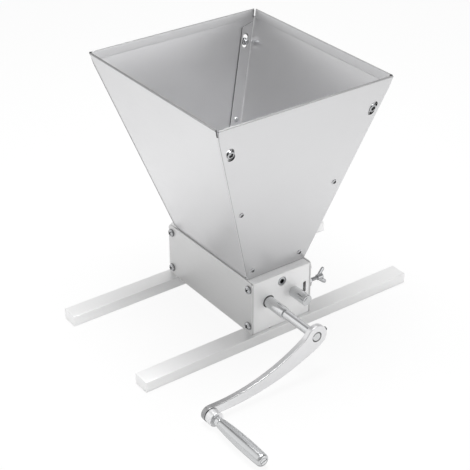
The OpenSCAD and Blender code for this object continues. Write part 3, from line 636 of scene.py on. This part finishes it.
def hem(bottom, top, slope):
    """The rim's fold: a section that goes over the flattened top and down inside, a little thinner
    towards its cut edge, carried across the wall. A section point at height y runs to t x (half
    width at y - inset), and the inner fold is inset more. The folded ends are darkened, as cut
    metal and as painted shade in the corner notches, and a painted dark reflection runs along the
    top where the sheet is bent over."""
    joint, deep = slope - SHEET - SHEET_GAP / 2, 2 * SHEET + 0.2
    low, inner = slope - HEM_H, SHEET + SHEET_GAP
    corners = [
        (joint, 0), (slope, 0), (slope, -deep), (slope - 1.3, -deep + 0.03),
        (low, -deep + 0.3), (low, -inner), (joint, -inner),
    ]
    section = rounded(corners, [0.02, 0.45, 0.45, 0.02, 0.35, 0.1, 0.02], steps=4)
    inset_by = np.interp(-section[:, 1], [0, 1, 2], [NOTCH_W, NOTCH_W + 0.2, HEM_INSET])
    inset_by = np.where(section[:, 0] < joint - 1, HEM_INSET, inset_by)
    reach = half_at(section[:, 0], bottom, top, slope) - inset_by
    t = np.array([-1, -0.996, -0.75, -0.5, -0.25, 0, 0.25, 0.5, 0.75, 0.996, 1])[:, None]
    rings = np.stack([t * reach, section[:, 0] + 0 * t, section[:, 1] + 0 * t], -1)
    # Painted dark reflection along the fold's top, and darkened ends: cut metal and painted shade
    over = np.interp(section[:, 0], [slope - 0.8, slope - 0.3], [0, FOLD_PAINTED_SHADE])
    return skin(rings, marks=np.maximum(over, abs(t) == 1))


def panel(bottom, top, slope, edge, trim=0.0, foot=0.35, holes=()):
    """A wall's flat sheet, trimmed where its sides are bent, with notched top corners."""
    rim, notch_y = slope - SHEET - SHEET_GAP / 2, slope - NOTCH_DROP
    cut = trim / math.cos(math.atan((top - bottom) / slope))
    notch_x = half_at(notch_y, bottom, top, slope) - cut
    rim_x = top - NOTCH_W - (slope - rim) * (top - NOTCH_W - notch_x - cut) / NOTCH_DROP
    corners = [
        (cut - bottom, 0.15), (bottom - cut, 0.15), (notch_x, notch_y),
        (rim_x, rim), (-rim_x, rim), (-notch_x, notch_y),
    ]
    outline = rounded(corners, [foot, foot, 1.5, 0.35, 0.35, 1.5], steps=3)
    # The edges are darkened as cut metal and as painted shade: partly along the seams and the foot,
    # fully round the slots
    return plate(outline, holes, -SHEET, 0, edge, cut_and_shade=(0.55, 1))


def tab(turn, half_depth, half_width, edge, lap=0.0):
    """The upright strip below a wall, which reaches into the body, and the level strip that joins
    it to the wall's foot."""
    basis, origin = wall_frame(turn, half_depth - SHEET_GAP, 0)
    outline = rounded(box(-half_width, -TAB_H, half_width, 0.7), [2, 2, 0.35, 0.35])
    upright = placed(plate(outline, (), -SHEET, 0, edge), basis, origin)
    if not lap:
        return upright
    outline = rounded(box(-half_width, -SHEET, half_width, lap - 0.3), 0.35)
    level = plate(outline, (), 0.06, 0.75, edge)
    lying = np.array([[-1, 0, 0], [0, 0, 1], [0, 1, 0]])
    return joined(upright, placed(level, lying @ basis, origin))


def seam_place(side, y, inset_by=SLOT_INSET):
    """A place on the front wall, at a height up its slope and an inset in from one side."""
    return side * (front_half_at(y) - inset_by), y


def end_wall(turn, edge):
    """Front or rear wall: panel with two slots along its seams, hem and tab."""
    size = (MOUTH_W / 2, RIM_W / 2, FRONT_SLOPE)
    slots = [stadium(WALL_SLOT, seam_place(s, SLOT_ROW), s * SEAM_LEAN) for s in (-1, 1)]
    flat = joined(panel(*size, edge, foot=2.4, holes=slots), hem(*size))
    strip = tab(turn, BODY_GAP / 2, MOUTH_W / 2 - SHEET_GAP, edge, FOOT_LAP)
    return joined(placed(flat, *wall_frame(turn, MOUTH_D / 2, FRONT_LEAN)), strip)


def seam_line(side, end):
    """Two points of the line where a side wall's outer plane meets its flange's, at the body's top
    and at the rim."""
    h = np.array([0, HOPPER_H])
    x = side * (MOUTH_W / 2 + h * math.tan(SIDE_LEAN))
    y = end * (MOUTH_D / 2 - SEAM + h * math.tan(FRONT_LEAN))
    return np.stack([x, PITCH / 2 + y, BODY_TOP + h], -1)


def bend(side, end, radius, low, high):
    """The bent corner of a side wall: an arc of normals from the wall's to the flange's, radius and
    radius - sheet from a centre line that runs (n1 + n2) x radius / (1 + n1.n2) inside the seam,
    between two heights."""
    n1 = np.array([side * math.cos(SIDE_LEAN), 0, -math.sin(SIDE_LEAN)])
    n2 = np.array([0, end * math.cos(FRONT_LEAN), -math.sin(FRONT_LEAN)])
    angle = math.acos(n1 @ n2)
    share = np.linspace(0, 1, 8)[:, None]
    arc = (np.sin((1 - share) * angle) * n1 + np.sin(share * angle) * n2) / math.sin(angle)
    section = np.concatenate([radius * arc, (radius - SHEET) * arc[::-1]])
    seam = seam_line(side, end)
    heights = np.array([low, high - 0.5, high])[:, None] / HOPPER_H
    centre = seam[0] + heights * (seam[1] - seam[0]) - (n1 + n2) * radius / (1 + n1 @ n2)
    rings = centre[:, None] + section
    along, across = rings[1, 0] - rings[0, 0], rings[0, 1] - rings[0, 0]
    # The top end is darkened as cut metal and as painted shade in the corner notch
    marks = np.array([0, 0, 1])
    if np.cross(across, along) @ n1 < 0:
        rings, marks = rings[::-1], marks[::-1]
    return skin(rings, ends="fold", marks=marks), radius * math.tan(angle / 2)


def corner_flange(turn, side, edge, trim):
    """The strip of a side wall inside the front or rear wall, with the corner screw's slot."""
    inner, corner = FRONT_SLOPE - FLANGE_DROP_INNER, FRONT_SLOPE - FLANGE_DROP_CORNER
    cut = trim / math.cos(SEAM_LEAN)
    corners = [
        (front_half_at(FLANGE_FOOT) - FLANGE_W, FLANGE_FOOT),
        (front_half_at(FLANGE_FOOT) - cut, FLANGE_FOOT),
        (front_half_at(corner) - cut, corner),
        (front_half_at(inner) - FLANGE_W, inner),
    ]
    slot = stadium(FLANGE_SLOT, (front_half_at(SLOT_ROW) - SLOT_INSET, SLOT_ROW + 1.2), SEAM_LEAN)
    outline, face = rounded(corners, [1.5, 0.35, 0.35, 1.5]), -SHEET - SHEET_GAP
    # The edges are darkened as cut metal and as painted shade along the flange's edge, and fully
    # round the slot
    flat = plate(outline, [slot], -2 * SHEET - SHEET_GAP, face, edge, cut_and_shade=(0.8, 1))
    basis, origin = wall_frame(turn, MOUTH_D / 2, FRONT_LEAN)
    return placed(flat, np.diag([side, 1, 1]) @ basis, origin)


def side_wall(turn, side, edge, radius):
    """Left or right wall: panel, hem and tab, and a bend and flange at each end."""
    size = (MOUTH_D / 2 - SEAM, RIM_D / 2 - SEAM, SIDE_SLOPE)
    low = FLANGE_FOOT * math.cos(FRONT_LEAN)
    high = (FRONT_SLOPE - FLANGE_DROP_CORNER + 5) * math.cos(FRONT_LEAN)
    bends = [bend(side, end, radius, low, high) for end in (-1, 1)]
    trim = bends[0][1]
    flat = joined(panel(*size, edge, trim), hem(*size))
    flanges = [corner_flange(0, side, edge, trim), corner_flange(math.pi, -side, edge, trim)]
    strip = tab(turn, MOUTH_W / 2, BODY_GAP / 2 - SHEET - 0.4, edge)
    wall = placed(flat, *wall_frame(turn, MOUTH_W / 2, SIDE_LEAN))
    return joined(wall, strip, *flanges, *(b[0] for b in bends))


class MALT_MILL_OT_hopper_walls(Operator):
    """The hopper's four sheet walls, with folded rims, bent corners and slots"""

    bl_idname = "malt_mill.hopper_walls"
    bl_label = "Hopper walls"

    def execute(self, context):
        sizes = context.scene.malt_mill_sizes
        edge, radius = sizes.sheet_edge / MM, sizes.sheet_bend / MM
        walls = {
            "front_wall": end_wall(0, edge),
            "rear_wall": end_wall(math.pi, edge),
            "left_wall": side_wall(-math.pi / 2, -1, edge, radius),
            "right_wall": side_wall(math.pi / 2, 1, edge, radius),
        }
        for name, shape in walls.items():
            piece(name + "_sheet", shape, "frame", "hopper_steel", "hopper_" + name)
        return {"FINISHED"}


def along_seams(shape, rows, depth=0.0, insets=(SLOT_INSET, SLOT_INSET)):
    """Copies of a shape on the four seams at the given rows and the left and right insets, its Z
    out of the wall, sunk by the depth."""
    copies = []
    for turn in (0, math.pi):
        basis, origin = wall_frame(turn, MOUTH_D / 2, FRONT_LEAN)
        for side, inset_by in zip((-1, 1), insets):
            for y in rows:
                at = np.array([*seam_place(side, y, inset_by), -depth])
                copies.append(placed(shape, spin(-side * SEAM_LEAN) @ basis, origin + at @ basis))
    return joined(*copies)


def hollow_rivet(grip):
    """A rivet along Z whose tail and head are quarter ellipses, with the head open in its middle.
    The head's foot is painted dark as a contact shadow, and the hollow as the shade inside it."""
    t, r = np.linspace(0, np.pi / 2, 8), RIVET_HEAD_D / 2
    tail = np.stack([r * np.sin(t), -grip - RIVET_TAIL_H * np.cos(t)], -1)
    head = np.stack([r * np.cos(t), RIVET_HEAD_H * np.sin(t)], -1)[:4]
    shank, hollow = [(RIVET_D / 2, -grip), (RIVET_D / 2, 0)], [(1.95, 1), (1.85, 0.9), (1.8, -0.6)]
    profile = np.concatenate([tail, shank, head, hollow])
    marks = np.zeros(len(profile))
    marks[-2:], marks[len(tail) + len(shank)] = 1, 0.8
    return revolved(profile, 48, marks=marks)


class MALT_MILL_OT_hopper_fasteners(Operator):
    """The rivets, corner screws and nuts on the hopper's seams, and its cap screws"""

    bl_idname = "malt_mill.hopper_fasteners"
    bl_label = "Hopper fasteners"

    def execute(self, context):
        grip, row = 2 * SHEET + SHEET_GAP, [SLOT_ROW]
        rivets = along_seams(hollow_rivet(grip), RIVET_ROWS, 0, RIVET_INSETS)
        piece("seam_rivets", rivets, "frame", "bright_fastener", "hopper_seam_rivets")
        shank = SHEET + CORNER_NUT_H + CORNER_END
        # The recess is painted dark as shade, and the head's foot as a contact shadow
        one = screw(
            CORNER_HEAD_D, CORNER_HEAD_H, CORNER_D, shank,
            power=7, recess=hexagon, depth=1.4, dark=0.75, side=0.4,
        )
        screws = along_seams(one, row, SHEET + SHEET_GAP)
        piece("corner_screws", screws, "frame", "nickel_fastener", "hopper_corner_screws")
        ring = turned_ring(CORNER_NUT_D, CORNER_D, -CORNER_NUT_H, 0, 0.4)
        nuts = along_seams(ring, row, grip)
        piece("corner_nuts", nuts, "frame", "nickel_fastener", "hopper_corner_nuts")
        shank = PLATE_T - MOUNT_HEAD_H + SHEET_GAP + SHEET + MOUNT_NUT_H
        # The socket is painted dark as shade, and the head's rim as the shadow of its counterbore
        cap = screw(
            MOUNT_HEAD_D, MOUNT_HEAD_H, MOUNT_D, shank,
            power=9, recess=hexagon, depth=2.4, side=0.9,
        )
        cap = placed(cap, TO_FRONT, (0, -PLATE_FACE + MOUNT_HEAD_H, BODY_TOP - MOUNT_DROP))
        piece("cap_screws", both_ends(cap), "frame", "nickel_fastener", "hopper_mounting_screws")
        finish_nodes("dark_fastener", "hopper_mounting_nuts")
        return {"FINISHED"}


# Body


def cover(holes, edge):
    """A side cover's outline: a rectangle with two round top corners, X from one end to the other
    and Y up."""
    half, low, high = (PITCH + PLATE_T) / 2, COVER_FOOT_CORNER, COVER_CORNER
    outline = rounded(box(-half, 0, half, BODY_H), [low, low, high, high], steps=8)
    return plate(outline, holes, 0, COVER_T, edge)


class MALT_MILL_OT_body(Operator):
    """The end plates and the two side covers"""

    bl_idname = "malt_mill.body"
    bl_label = "Body"

    def execute(self, context):
        edge = context.scene.malt_mill_sizes.cover_edge / MM
        ends, rows = (-PITCH / 2, PITCH / 2), (COVER_SCREW_INSET, BODY_H - COVER_SCREW_INSET)
        screws = [circle(COVER_SCREW_D + SCREW_PLAY, (x, y), 24) for x in ends for y in rows]
        wings = [circle(WING_D + SCREW_PLAY, (x, AXIS_Z - BAR_HEIGHT), 24) for x in ends]
        for name, holes, basis, x in (
            ("right_cover", screws + wings, TO_RIGHT, PLATE_W / 2),
            ("left_cover", screws, TO_LEFT, -PLATE_W / 2),
        ):
            shape = placed(cover(holes, edge), basis, (x, PITCH / 2, BAR_HEIGHT))
            piece(name + "_sheet", shape, "frame", "cover_metal", name)
        finish_nodes("plate_metal", "front_end_plate", "rear_end_plate")
        return {"FINISHED"}


class MALT_MILL_OT_cover_screws(Operator):
    """The eight cross-recess screws of the side covers"""

    bl_idname = "malt_mill.cover_screws"
    bl_label = "Cover screws"

    def execute(self, context):
        shank = COVER_T + COVER_SCREW_DEPTH
        # The cross recess is painted dark as shade, and the head's foot as a contact shadow
        pan = screw(
            COVER_HEAD_D, COVER_HEAD_H, COVER_SCREW_D, shank,
            power=2.6, recess=cross_recess, depth=1.6, side=0.6,
        )
        places = [
            (basis, (x, 0, BAR_HEIGHT + h))
            for h in (COVER_SCREW_INSET, BODY_H - COVER_SCREW_INSET)
            for basis, x in ((TO_RIGHT, COVER_FACE), (TO_LEFT, -COVER_FACE))
        ]
        turns = np.radians([20, 65, -15, 40])
        screws = [placed(pan, spin(turn) @ basis, at) for turn, (basis, at) in zip(turns, places)]
        shape = both_ends(joined(*screws))
        piece("cover_pan_screws", shape, "frame", "nickel_fastener", "cover_screws")
        return {"FINISHED"}


class MALT_MILL_OT_foot_bars(Operator):
    """The two foot bars, and the screws that hold the end plates on them"""

    bl_idname = "malt_mill.foot_bars"
    bl_label = "Foot bars"

    def execute(self, context):
        edge = context.scene.malt_mill_sizes.bar_edge / MM
        x, y = BAR_LENGTH / 2, BAR_WIDTH / 2
        holes = [circle(FOOT_HEAD_D + SCREW_PLAY, (s * FOOT_SCREW_X, 0)) for s in (-1, 1)]
        bar = plate(rounded(box(-x, -y, x, y), 0.8), holes, 0, BAR_HEIGHT, edge)
        for end, at in (("front", 0), ("rear", PITCH)):
            shape = placed(bar, UPRIGHT, (0, at, 0))
            piece(end + "_bar", shape, "frame", "bar_metal", end + "_foot_bar")
        finish_nodes("dark_fastener", "foot_bar_screws")
        return {"FINISHED"}


# Rollers and shafts


def knurled(length, d, bore, count, depth):
    """A roller along Z with diamond knurls: radius = d/2 - depth x (1 - the lower of two crossed
    triangle waves, 1.7 times steeper and cut off at 1), closed round its bore."""
    per_knurl, bevel_h, bevel_r = 4, 1, 0.6
    a = angles(count * per_knurl)
    pitch = np.pi * d / count
    rows = int(length / pitch) * per_knurl
    h = np.linspace(bevel_h, length - bevel_h, rows + 1)[:, None]
    turn, rise = count * a / (2 * np.pi), (h - bevel_h) / pitch
    waves = [abs(2 * np.mod(turn + sign * rise, 1) - 1) for sign in (-1, 1)]
    r = d / 2 - depth * (1 - np.minimum(1, 1.7 * np.minimum(*waves)))
    rim, hole = np.full(len(a), d / 2 - depth - bevel_r), np.full(len(a), bore / 2)
    start, end = 0 * a, length + 0 * a
    h = np.stack([start, start, *(h + 0 * a), end, end])
    return round_skin(np.stack([hole, rim, *r, rim, hole]), a, h, loop=True)


class MALT_MILL_OT_rollers(Operator):
    """The driven roller and the idler roller, with diamond knurls"""

    bl_idname = "malt_mill.rollers"
    bl_label = "Rollers"

    def execute(self, context):
        sizes = context.scene.malt_mill_sizes
        count, depth = sizes.knurl_count, sizes.knurl_depth / MM
        for node, x, z, bore, body in (
            ("drive_roller", DRIVE_X, AXIS_Z, SHAFT_D, "crank"),
            ("idler_roller", IDLER_X, IDLER_Z, AXLE_D, "idler"),
        ):
            shape = knurled(ROLLER_LENGTH, ROLLER_D, bore, count, depth)
            shape = placed(shape, TO_REAR, (x, (PITCH - ROLLER_LENGTH) / 2, z))
            piece(node + "_knurled", shape, body, "roller_steel", node)
        return {"FINISHED"}


class MALT_MILL_OT_shafts(Operator):
    """The drive shaft, the idler's axle, the bushes and the two adjusters"""

    bl_idname = "malt_mill.shafts"
    bl_label = "Shafts and adjusters"

    def execute(self, context):
        turned = ("drive_shaft", "idler_axle", "front_adjuster", "rear_adjuster")
        finish_nodes("shaft_steel", *turned)
        finish_nodes("bush_metal", "front_drive_bush", "rear_drive_bush")
        return {"FINISHED"}


# Wing screws


def wing():
    """One wing: ellipses along a curved line from the hub to the tip. Their width narrows past the
    root, widens towards the tip and closes as a circle does, and their thickness closes with it."""
    a, t = angles(24), np.linspace(0, 1, 17)[:, None]
    x, z = 1.2 + 7.0 * t**0.9, 3.4 + 7.4 * t**1.25
    close = np.sqrt(np.clip(1 - np.clip((t - 0.72) / 0.28, 0, 1) ** 2, 0.0004, 1))
    width, thick = (2.7 - 1.9 * t + 1.7 * t**2) * close, (1.25 - 0.25 * t) * close
    slope = np.arctan2(np.gradient(z[:, 0]), np.gradient(x[:, 0]))[:, None]
    across, out = width * np.cos(a), thick * np.sin(a)
    return skin(np.stack([x - across * np.sin(slope), out, z + across * np.cos(slope)], -1))


def wing_screw(pitch):
    """Hub, two wings and a threaded stem, along Z with the head's foot at Z = 0."""
    profile = rounded([(0.5, 0), (3, 0), (3.8, 6.6), (0.5, 7)], [0, 0.5, 0.8, 0], closed=False)
    tip = ADJUSTER_X + DISC_D / 2 + WING_TIP_GAP - COVER_FACE - WING_STANDOFF
    one, stem = wing(), threaded(WING_D, tip, 3, pitch, 0.35)
    return joined(revolved(profile, 64), one, placed(one, np.diag([-1, -1, 1])), stem)


class MALT_MILL_OT_wing_screws(Operator):
    """The wing screws, their flange nuts and the nuts in the end plates' slots"""

    bl_idname = "malt_mill.wing_screws"
    bl_label = "Wing screws"

    def execute(self, context):
        shape = wing_screw(context.scene.malt_mill_sizes.thread_pitch / MM)
        # Own X, the wings' side, points down along -Z turned by the tilt; own Z points to the right
        tilt = math.radians(180 - WING_TILT)
        c, s = math.cos(tilt), math.sin(tilt)
        basis = np.array([[0, s, -c], [0, c, s], [1, 0, 0]])
        for end, y, mirror in (("front", 0, 1), ("rear", PITCH, -1)):
            at = (COVER_FACE + WING_STANDOFF, y, AXIS_Z)
            turned, name = placed(shape, basis @ np.diag([1, mirror, 1]), at), end + "_wing_screw"
            piece(end + "_wing_bolt", turned, name, "nickel_fastener", name)
        bore = WING_D + 0.2
        flange = turned_ring(FLANGE_D, bore, 0, FLANGE_T, 0.3)
        both = joined(flange, nut(FLANGE_NUT_D, FLANGE_NUT_H, bore))
        both = both_ends(placed(both, TO_RIGHT, (COVER_FACE, 0, AXIS_Z)))
        piece("flange_nuts", both, "frame", "nickel_fastener", "wing_flange_nuts")
        finish_nodes("dark_fastener", "captive_nuts")
        return {"FINISHED"}


# Crank and handle


def arc_between(x, deepest, dip, rise):
    """Height of an arc that is deepest, at -dip, at a share of the arm's length and ends higher by
    rise + dip."""
    at = deepest * CRANK_RADIUS
    run, up = CRANK_RADIUS - at, rise + dip
    r = (run * run + up * up) / (2 * up)
    return r - dip - np.sqrt(r * r - (x - at) ** 2)


def disc_at(x, r, centre):
    """Half height of a disc at x, and 0 beside it."""
    return np.sqrt(np.clip(r * r - (x - centre) ** 2, 0, None))


def arm_outline():
    """The arm's outline. Below runs the lowest of the hub circle, the outer arc and the end circle,
    and above the highest of the circles and the inner arc. The loop is spaced evenly and its
    corners are softened by a moving mean."""
    count, even_count, blur = 220, 360, 3
    hub, end = HUB_D / 2, ARM_END_D / 2
    middle, half = (CRANK_RADIUS + end - hub) / 2, (CRANK_RADIUS + end + hub) / 2
    x = middle - half * np.cos(np.linspace(0, np.pi, count))
    inside = (x >= 0) & (x <= CRANK_RADIUS)
    circles = np.maximum(disc_at(x, hub, 0), disc_at(x, end, CRANK_RADIUS))
    outer, inner = (arc_between(np.clip(x, 0, CRANK_RADIUS), *a) for a in (OUTER_ARC, INNER_ARC))
    below = np.where(inside, np.minimum(-circles, outer), -circles)
    above = np.where(inside, np.maximum(np.where(circles > 0, circles, -99), inner), circles)
    loop = np.concatenate([np.stack([x, below], -1), np.stack([x, above], -1)[-2:0:-1]])
    closed = np.concatenate([loop, loop[:1]])
    run = np.concatenate([[0], np.cumsum(np.linalg.norm(np.diff(closed, axis=0), axis=1))])
    even = np.linspace(0, run[-1], even_count, endpoint=False)
    loop = np.stack([np.interp(even, run, closed[:, i]) for i in (0, 1)], -1)
    return sum(np.roll(loop, k, 0) for k in range(-blur, blur + 1)) / (2 * blur + 1)


class MALT_MILL_OT_crank(Operator):
    """The crank arm, with rounded edges, and its set screw"""

    bl_idname = "malt_mill.crank"
    bl_label = "Crank arm"

    def execute(self, context):
        edge = context.scene.malt_mill_sizes.arm_edge / MM
        hub_hole = circle(NOSE_D + HUB_PLAY, (0, 0), 64)
        spindle_hole = circle(SPINDLE_D + SPINDLE_PLAY, (CRANK_RADIUS, 0))
        outline = arm_outline()
        # The arm's edges are painted darker towards the handle's end, as shade on its thickness
        # side, and the holes' edges as the shade inside them
        painted_edge_shade = np.interp(outline[:, 0], [0, CRANK_RADIUS], [0.1, 0.65])
        arm = plate(outline, [hub_hole, spindle_hole], -ARM_T, 0, edge, 5, cut_and_shade=(painted_edge_shade, 0.7))
        # Own X runs from the shaft to the handle, own Z to the front, and own Y is mirrored
        basis = np.diag([1, -1, 1]) @ spin(CRANK_ANGLE) @ TO_FRONT
        arm = placed(arm, basis, (DRIVE_X, CRANK_Y, AXIS_Z))
        piece("curved_arm", arm, "crank", "crank_steel", "crank_arm")
        finish_nodes("dark_fastener", "crank_set_screw")
        return {"FINISHED"}


def grip_shape():
    """The grip along Z: one long arc, r = mid - R + sqrt(R^2 - (s - s0)^2), closed by a quarter
    circle, round its bore."""
    start, mid, at, end_r = GRIP_START_D / 2, GRIP_MID_D / 2, 0.63 * GRIP_LENGTH, GRIP_END_R
    big = (at * at + (mid - start) ** 2) / (2 * (mid - start))
    s = np.linspace(0.6, GRIP_LENGTH - end_r, 60)
    r = mid - big + np.sqrt(big * big - (s - at) ** 2)
    a = np.linspace(0, np.pi / 2, 12)[1:]
    end = [r[-1] - end_r * (1 - np.cos(a)), GRIP_LENGTH - end_r + end_r * np.sin(a)]
    foot = [(3.05, 0), (start - 0.6, 0), (start - 0.2, 0.15)]
    bore = [(4, GRIP_LENGTH), (3.9, GRIP_LENGTH - 3.4), (3.05, GRIP_LENGTH - 3.4)]
    profile = np.concatenate([foot, np.stack([r, s], -1), np.stack(end, -1), bore])
    return revolved(profile, loop=True)


class MALT_MILL_OT_handle(Operator):
    """The turning grip, with its ferrule, collar, washer and slotted spindle"""

    bl_idname = "malt_mill.handle"
    bl_label = "Handle"

    def execute(self, context):
        # A thin washer in blackened finish, which paints the shadow line between the arm and the
        # collar, a round collar, and a ferrule with an undercut beside the collar
        washer = turned_ring(WASHER_D, SPINDLE_D, 0, WASHER_T, 0.15)
        collar = turned_ring(COLLAR_D, SPINDLE_D, 0, COLLAR_H, 0.5)
        bore, end = SPINDLE_D / 2, FERRULE_LENGTH
        corners = [(bore, 0), (3.6, 0), (3.6, 1.4), (4.7, 1.8), (4.7, end), (bore, end)]
        section = rounded(corners, [0.1, 0.1, 0.2, 0.2, 0.5, 0.1], steps=3)
        ferrule, ferrule_y = revolved(section, loop=True), GRIP_Y + GRIP_GAP + FERRULE_LENGTH
        for name, shape, y, body, slot, node in (
            ("turning_grip", grip_shape(), GRIP_Y, "grip", "grip_steel", "handle_grip"),
            ("shadow_line_washer", washer, CRANK_Y, "crank", "dark_fastener", "handle_washer"),
            ("spindle_collar", collar, CRANK_Y - WASHER_T, "crank", "crank_steel", "handle_collar"),
            ("grip_ferrule", ferrule, ferrule_y, "crank", "shaft_steel", "handle_ferrule"),
        ):
            piece(name, placed(shape, TO_FRONT, (HANDLE_X, y, HANDLE_Z)), body, slot, node)
        finish_nodes("shaft_steel", "handle_spindle")
        return {"FINISHED"}


# Stage


def white_share(tree, camera, gloss):
    """How far something reads as plain white: camera x camera ray + gloss x (glossy ray +
    transmission ray)."""
    rays = add(tree, "ShaderNodeLightPath").outputs
    both = {0: rays["Is Glossy Ray"], 1: rays["Is Transmission Ray"]}
    mirrored = add(tree, "ShaderNodeMath", both).outputs[0]
    part = add(tree, "ShaderNodeMath", {0: mirrored}, {1: gloss}, operation="MULTIPLY").outputs[0]
    links = {0: rays["Is Camera Ray"], 2: part}
    return add(tree, "ShaderNodeMath", links, {1: camera}, operation="MULTIPLY_ADD").outputs[0]


def white_floor():
    """White paper: it keeps the mill's shadow, and reads as plain white to the camera and partly so
    in metal and glass."""
    material = bpy.data.materials.new("White paper")
    tree = bare_tree(material)
    paper = add(tree, "ShaderNodeBsdfDiffuse", Color=(0.9, 0.9, 0.9, 1)).outputs[0]
    glow = add(tree, "ShaderNodeEmission", Color=(1, 1, 1, 1), Strength=1.0).outputs[0]
    share = white_share(tree, camera=0.92, gloss=0.35)
    mix = add(tree, "ShaderNodeMixShader", {0: share, 1: paper, 2: glow})
    add(tree, "ShaderNodeOutputMaterial", {"Surface": mix.outputs[0]})
    return material


def studio_world():
    """A pale studio: white to the camera, and for light and gloss a little paler low down, with a
    white card behind the mill on the left and one low in front, a dark gap high behind it and a
    dim front. Each of these is a smooth lobe round its direction."""
    world = bpy.data.worlds.new("Studio")
    bpy.context.scene.world = world
    tree = bare_tree(world)
    place = add(tree, "ShaderNodeTexCoord").outputs["Generated"]
    height = add(tree, "ShaderNodeSeparateXYZ", {0: place}).outputs["Z"]
    tone = add(
        tree, "ShaderNodeMapRange", {"Value": height}, interpolation_type="SMOOTHSTEP",
        From_Min=0.1, From_Max=0.5, To_Min=0.52, To_Max=0.34,
    ).outputs[0]
    # Direction, the cosines where the lobe starts and is full, and what it adds to the strength
    for label, direction, start, full, change in (
        ("White card", (-0.58, 0.70, 0.42), 0.85, 0.97, 0.9),
        ("Dark gap", (-0.02, 0.70, 0.71), 0.93, 0.985, -0.55),
        ("Dim front right", (0.55, -0.55, 0.62), 0.6, 0.9, -0.4),
        ("Dim front left", (-0.55, -0.82, 0.17), 0.7, 0.95, -0.4),
        ("Front card", (0.53, -0.83, 0.08), 0.84, 0.97, 2.2),
    ):
        toward = add(
            tree, "ShaderNodeVectorMath", {0: place}, {1: direction}, operation="DOT_PRODUCT"
        )
        lobe = add(
            tree, "ShaderNodeMapRange", {"Value": toward.outputs["Value"]}, label=label,
            interpolation_type="SMOOTHSTEP", From_Min=start, From_Max=full, To_Min=0, To_Max=change,
        )
        tone = add(tree, "ShaderNodeMath", {0: tone, 1: lobe.outputs[0]}).outputs[0]
    light = add(tree, "ShaderNodeBackground", {0: tone}, Strength=1).outputs[0]
    white = add(tree, "ShaderNodeBackground", Color=(1, 1, 1, 1), Strength=1).outputs[0]
    share = white_share(tree, camera=1, gloss=0.45)
    mix = add(tree, "ShaderNodeMixShader", {0: share, 1: light, 2: white})
    add(tree, "ShaderNodeOutputWorld", {"Surface": mix.outputs[0]})


def facing(place, target):
    """Right, up and back axes of a thing that looks from its place at a target."""
    back = np.array(place) - np.array(target)
    back = back / np.linalg.norm(back)
    right = np.cross((0, 0, 1), back)
    right = right / np.linalg.norm(right)
    return right, np.cross(back, right), back


def stand(name, data, place, axes):
    """Puts a lamp or camera in the scene, at a place in metres, along its axes."""
    obj = bpy.data.objects.new(name, data)
    obj.matrix_world = Matrix.Translation(place) @ Matrix(np.stack(axes, 1).tolist()).to_4x4()
    bpy.context.scene.collection.objects.link(obj)
    return obj


def overhead_lamp():
    """A soft square lamp above the mill."""
    place, target = (0.01, 0.12, 1.15), (0, 0.07, 0)
    data = bpy.data.lights.new("Overhead lamp", "AREA")
    data.size, data.energy = LAMP_M, LAMP_W
    stand("Overhead lamp", data, place, facing(place, target))


def photo_camera():
    """The photograph's camera: axes from its place and target, turned by its roll."""
    place, target = (-0.6851, -0.8716, 0.7737), (-0.0105, 0.0612, 0.0897)
    right, up, back = facing(place, target)
    c, s = math.cos(math.radians(-0.1156)), math.sin(math.radians(-0.1156))
    data = bpy.data.cameras.new("Camera")
    data.sensor_width, data.lens, data.clip_end = 36, 98.59, 20
    axes = (right * c + up * s, up * c - right * s, back)
    bpy.context.scene.camera = stand("Camera", data, place, axes)


class MALT_MILL_OT_stage(Operator):
    """The white floor, the studio light and the photograph's camera"""

    bl_idname = "malt_mill.stage"
    bl_label = "Stage"

    def execute(self, context):
        mesh, half = bpy.data.meshes.new("floor"), FLOOR_M / 2
        corners = [(x, y, 0) for x, y in box(-half, -half, half, half)]
        mesh.from_pydata(corners, [], [(0, 1, 2, 3)])
        mesh.materials.append(white_floor())
        floor = bpy.data.objects.new("floor", mesh)
        context.scene.collection.objects.link(floor)
        floor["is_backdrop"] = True
        studio_world()
        overhead_lamp()
        photo_camera()
        context.scene.view_settings.view_transform = "Standard"
        return {"FINISHED"}


STEPS = (
    MALT_MILL_OT_hopper_walls,
    MALT_MILL_OT_hopper_fasteners,
    MALT_MILL_OT_body,
    MALT_MILL_OT_cover_screws,
    MALT_MILL_OT_foot_bars,
    MALT_MILL_OT_rollers,
    MALT_MILL_OT_shafts,
    MALT_MILL_OT_wing_screws,
    MALT_MILL_OT_crank,
    MALT_MILL_OT_handle,
    MALT_MILL_OT_stage,
)


class VIEW3D_PT_malt_mill(Panel):
    """The mill's sizes, finishes and steps, in the sidebar"""

    bl_label = "Malt mill"
    bl_space_type = "VIEW_3D"
    bl_region_type = "UI"
    bl_category = "Malt mill"

    def draw(self, context):
        for group in (context.scene.malt_mill_sizes, context.scene.malt_mill_finishes):
            column = self.layout.column()
            for name in type(group).__annotations__:
                column.prop(group, name)
        for step in STEPS:
            self.layout.operator(step.bl_idname)


CLASSES = (MaltMillSizes, MaltMillFinishes, *STEPS, VIEW3D_PT_malt_mill)


def register():
    for each in CLASSES:
        bpy.utils.register_class(each)
    bpy.types.Scene.malt_mill_sizes = PointerProperty(type=MaltMillSizes)
    bpy.types.Scene.malt_mill_finishes = PointerProperty(type=MaltMillFinishes)


def unregister():
    del bpy.types.Scene.malt_mill_finishes
    del bpy.types.Scene.malt_mill_sizes
    for each in reversed(CLASSES):
        bpy.utils.unregister_class(each)


def main():
    register()
    for step in STEPS:
        getattr(bpy.ops.malt_mill, step.bl_idname.split(".")[1])()
    boxes = {"cad": CAD_BOX, "visual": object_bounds()}
    boxes = {key: [list(map(float, corner)) for corner in box] for key, box in boxes.items()}


if __name__ == "__main__":
    main()
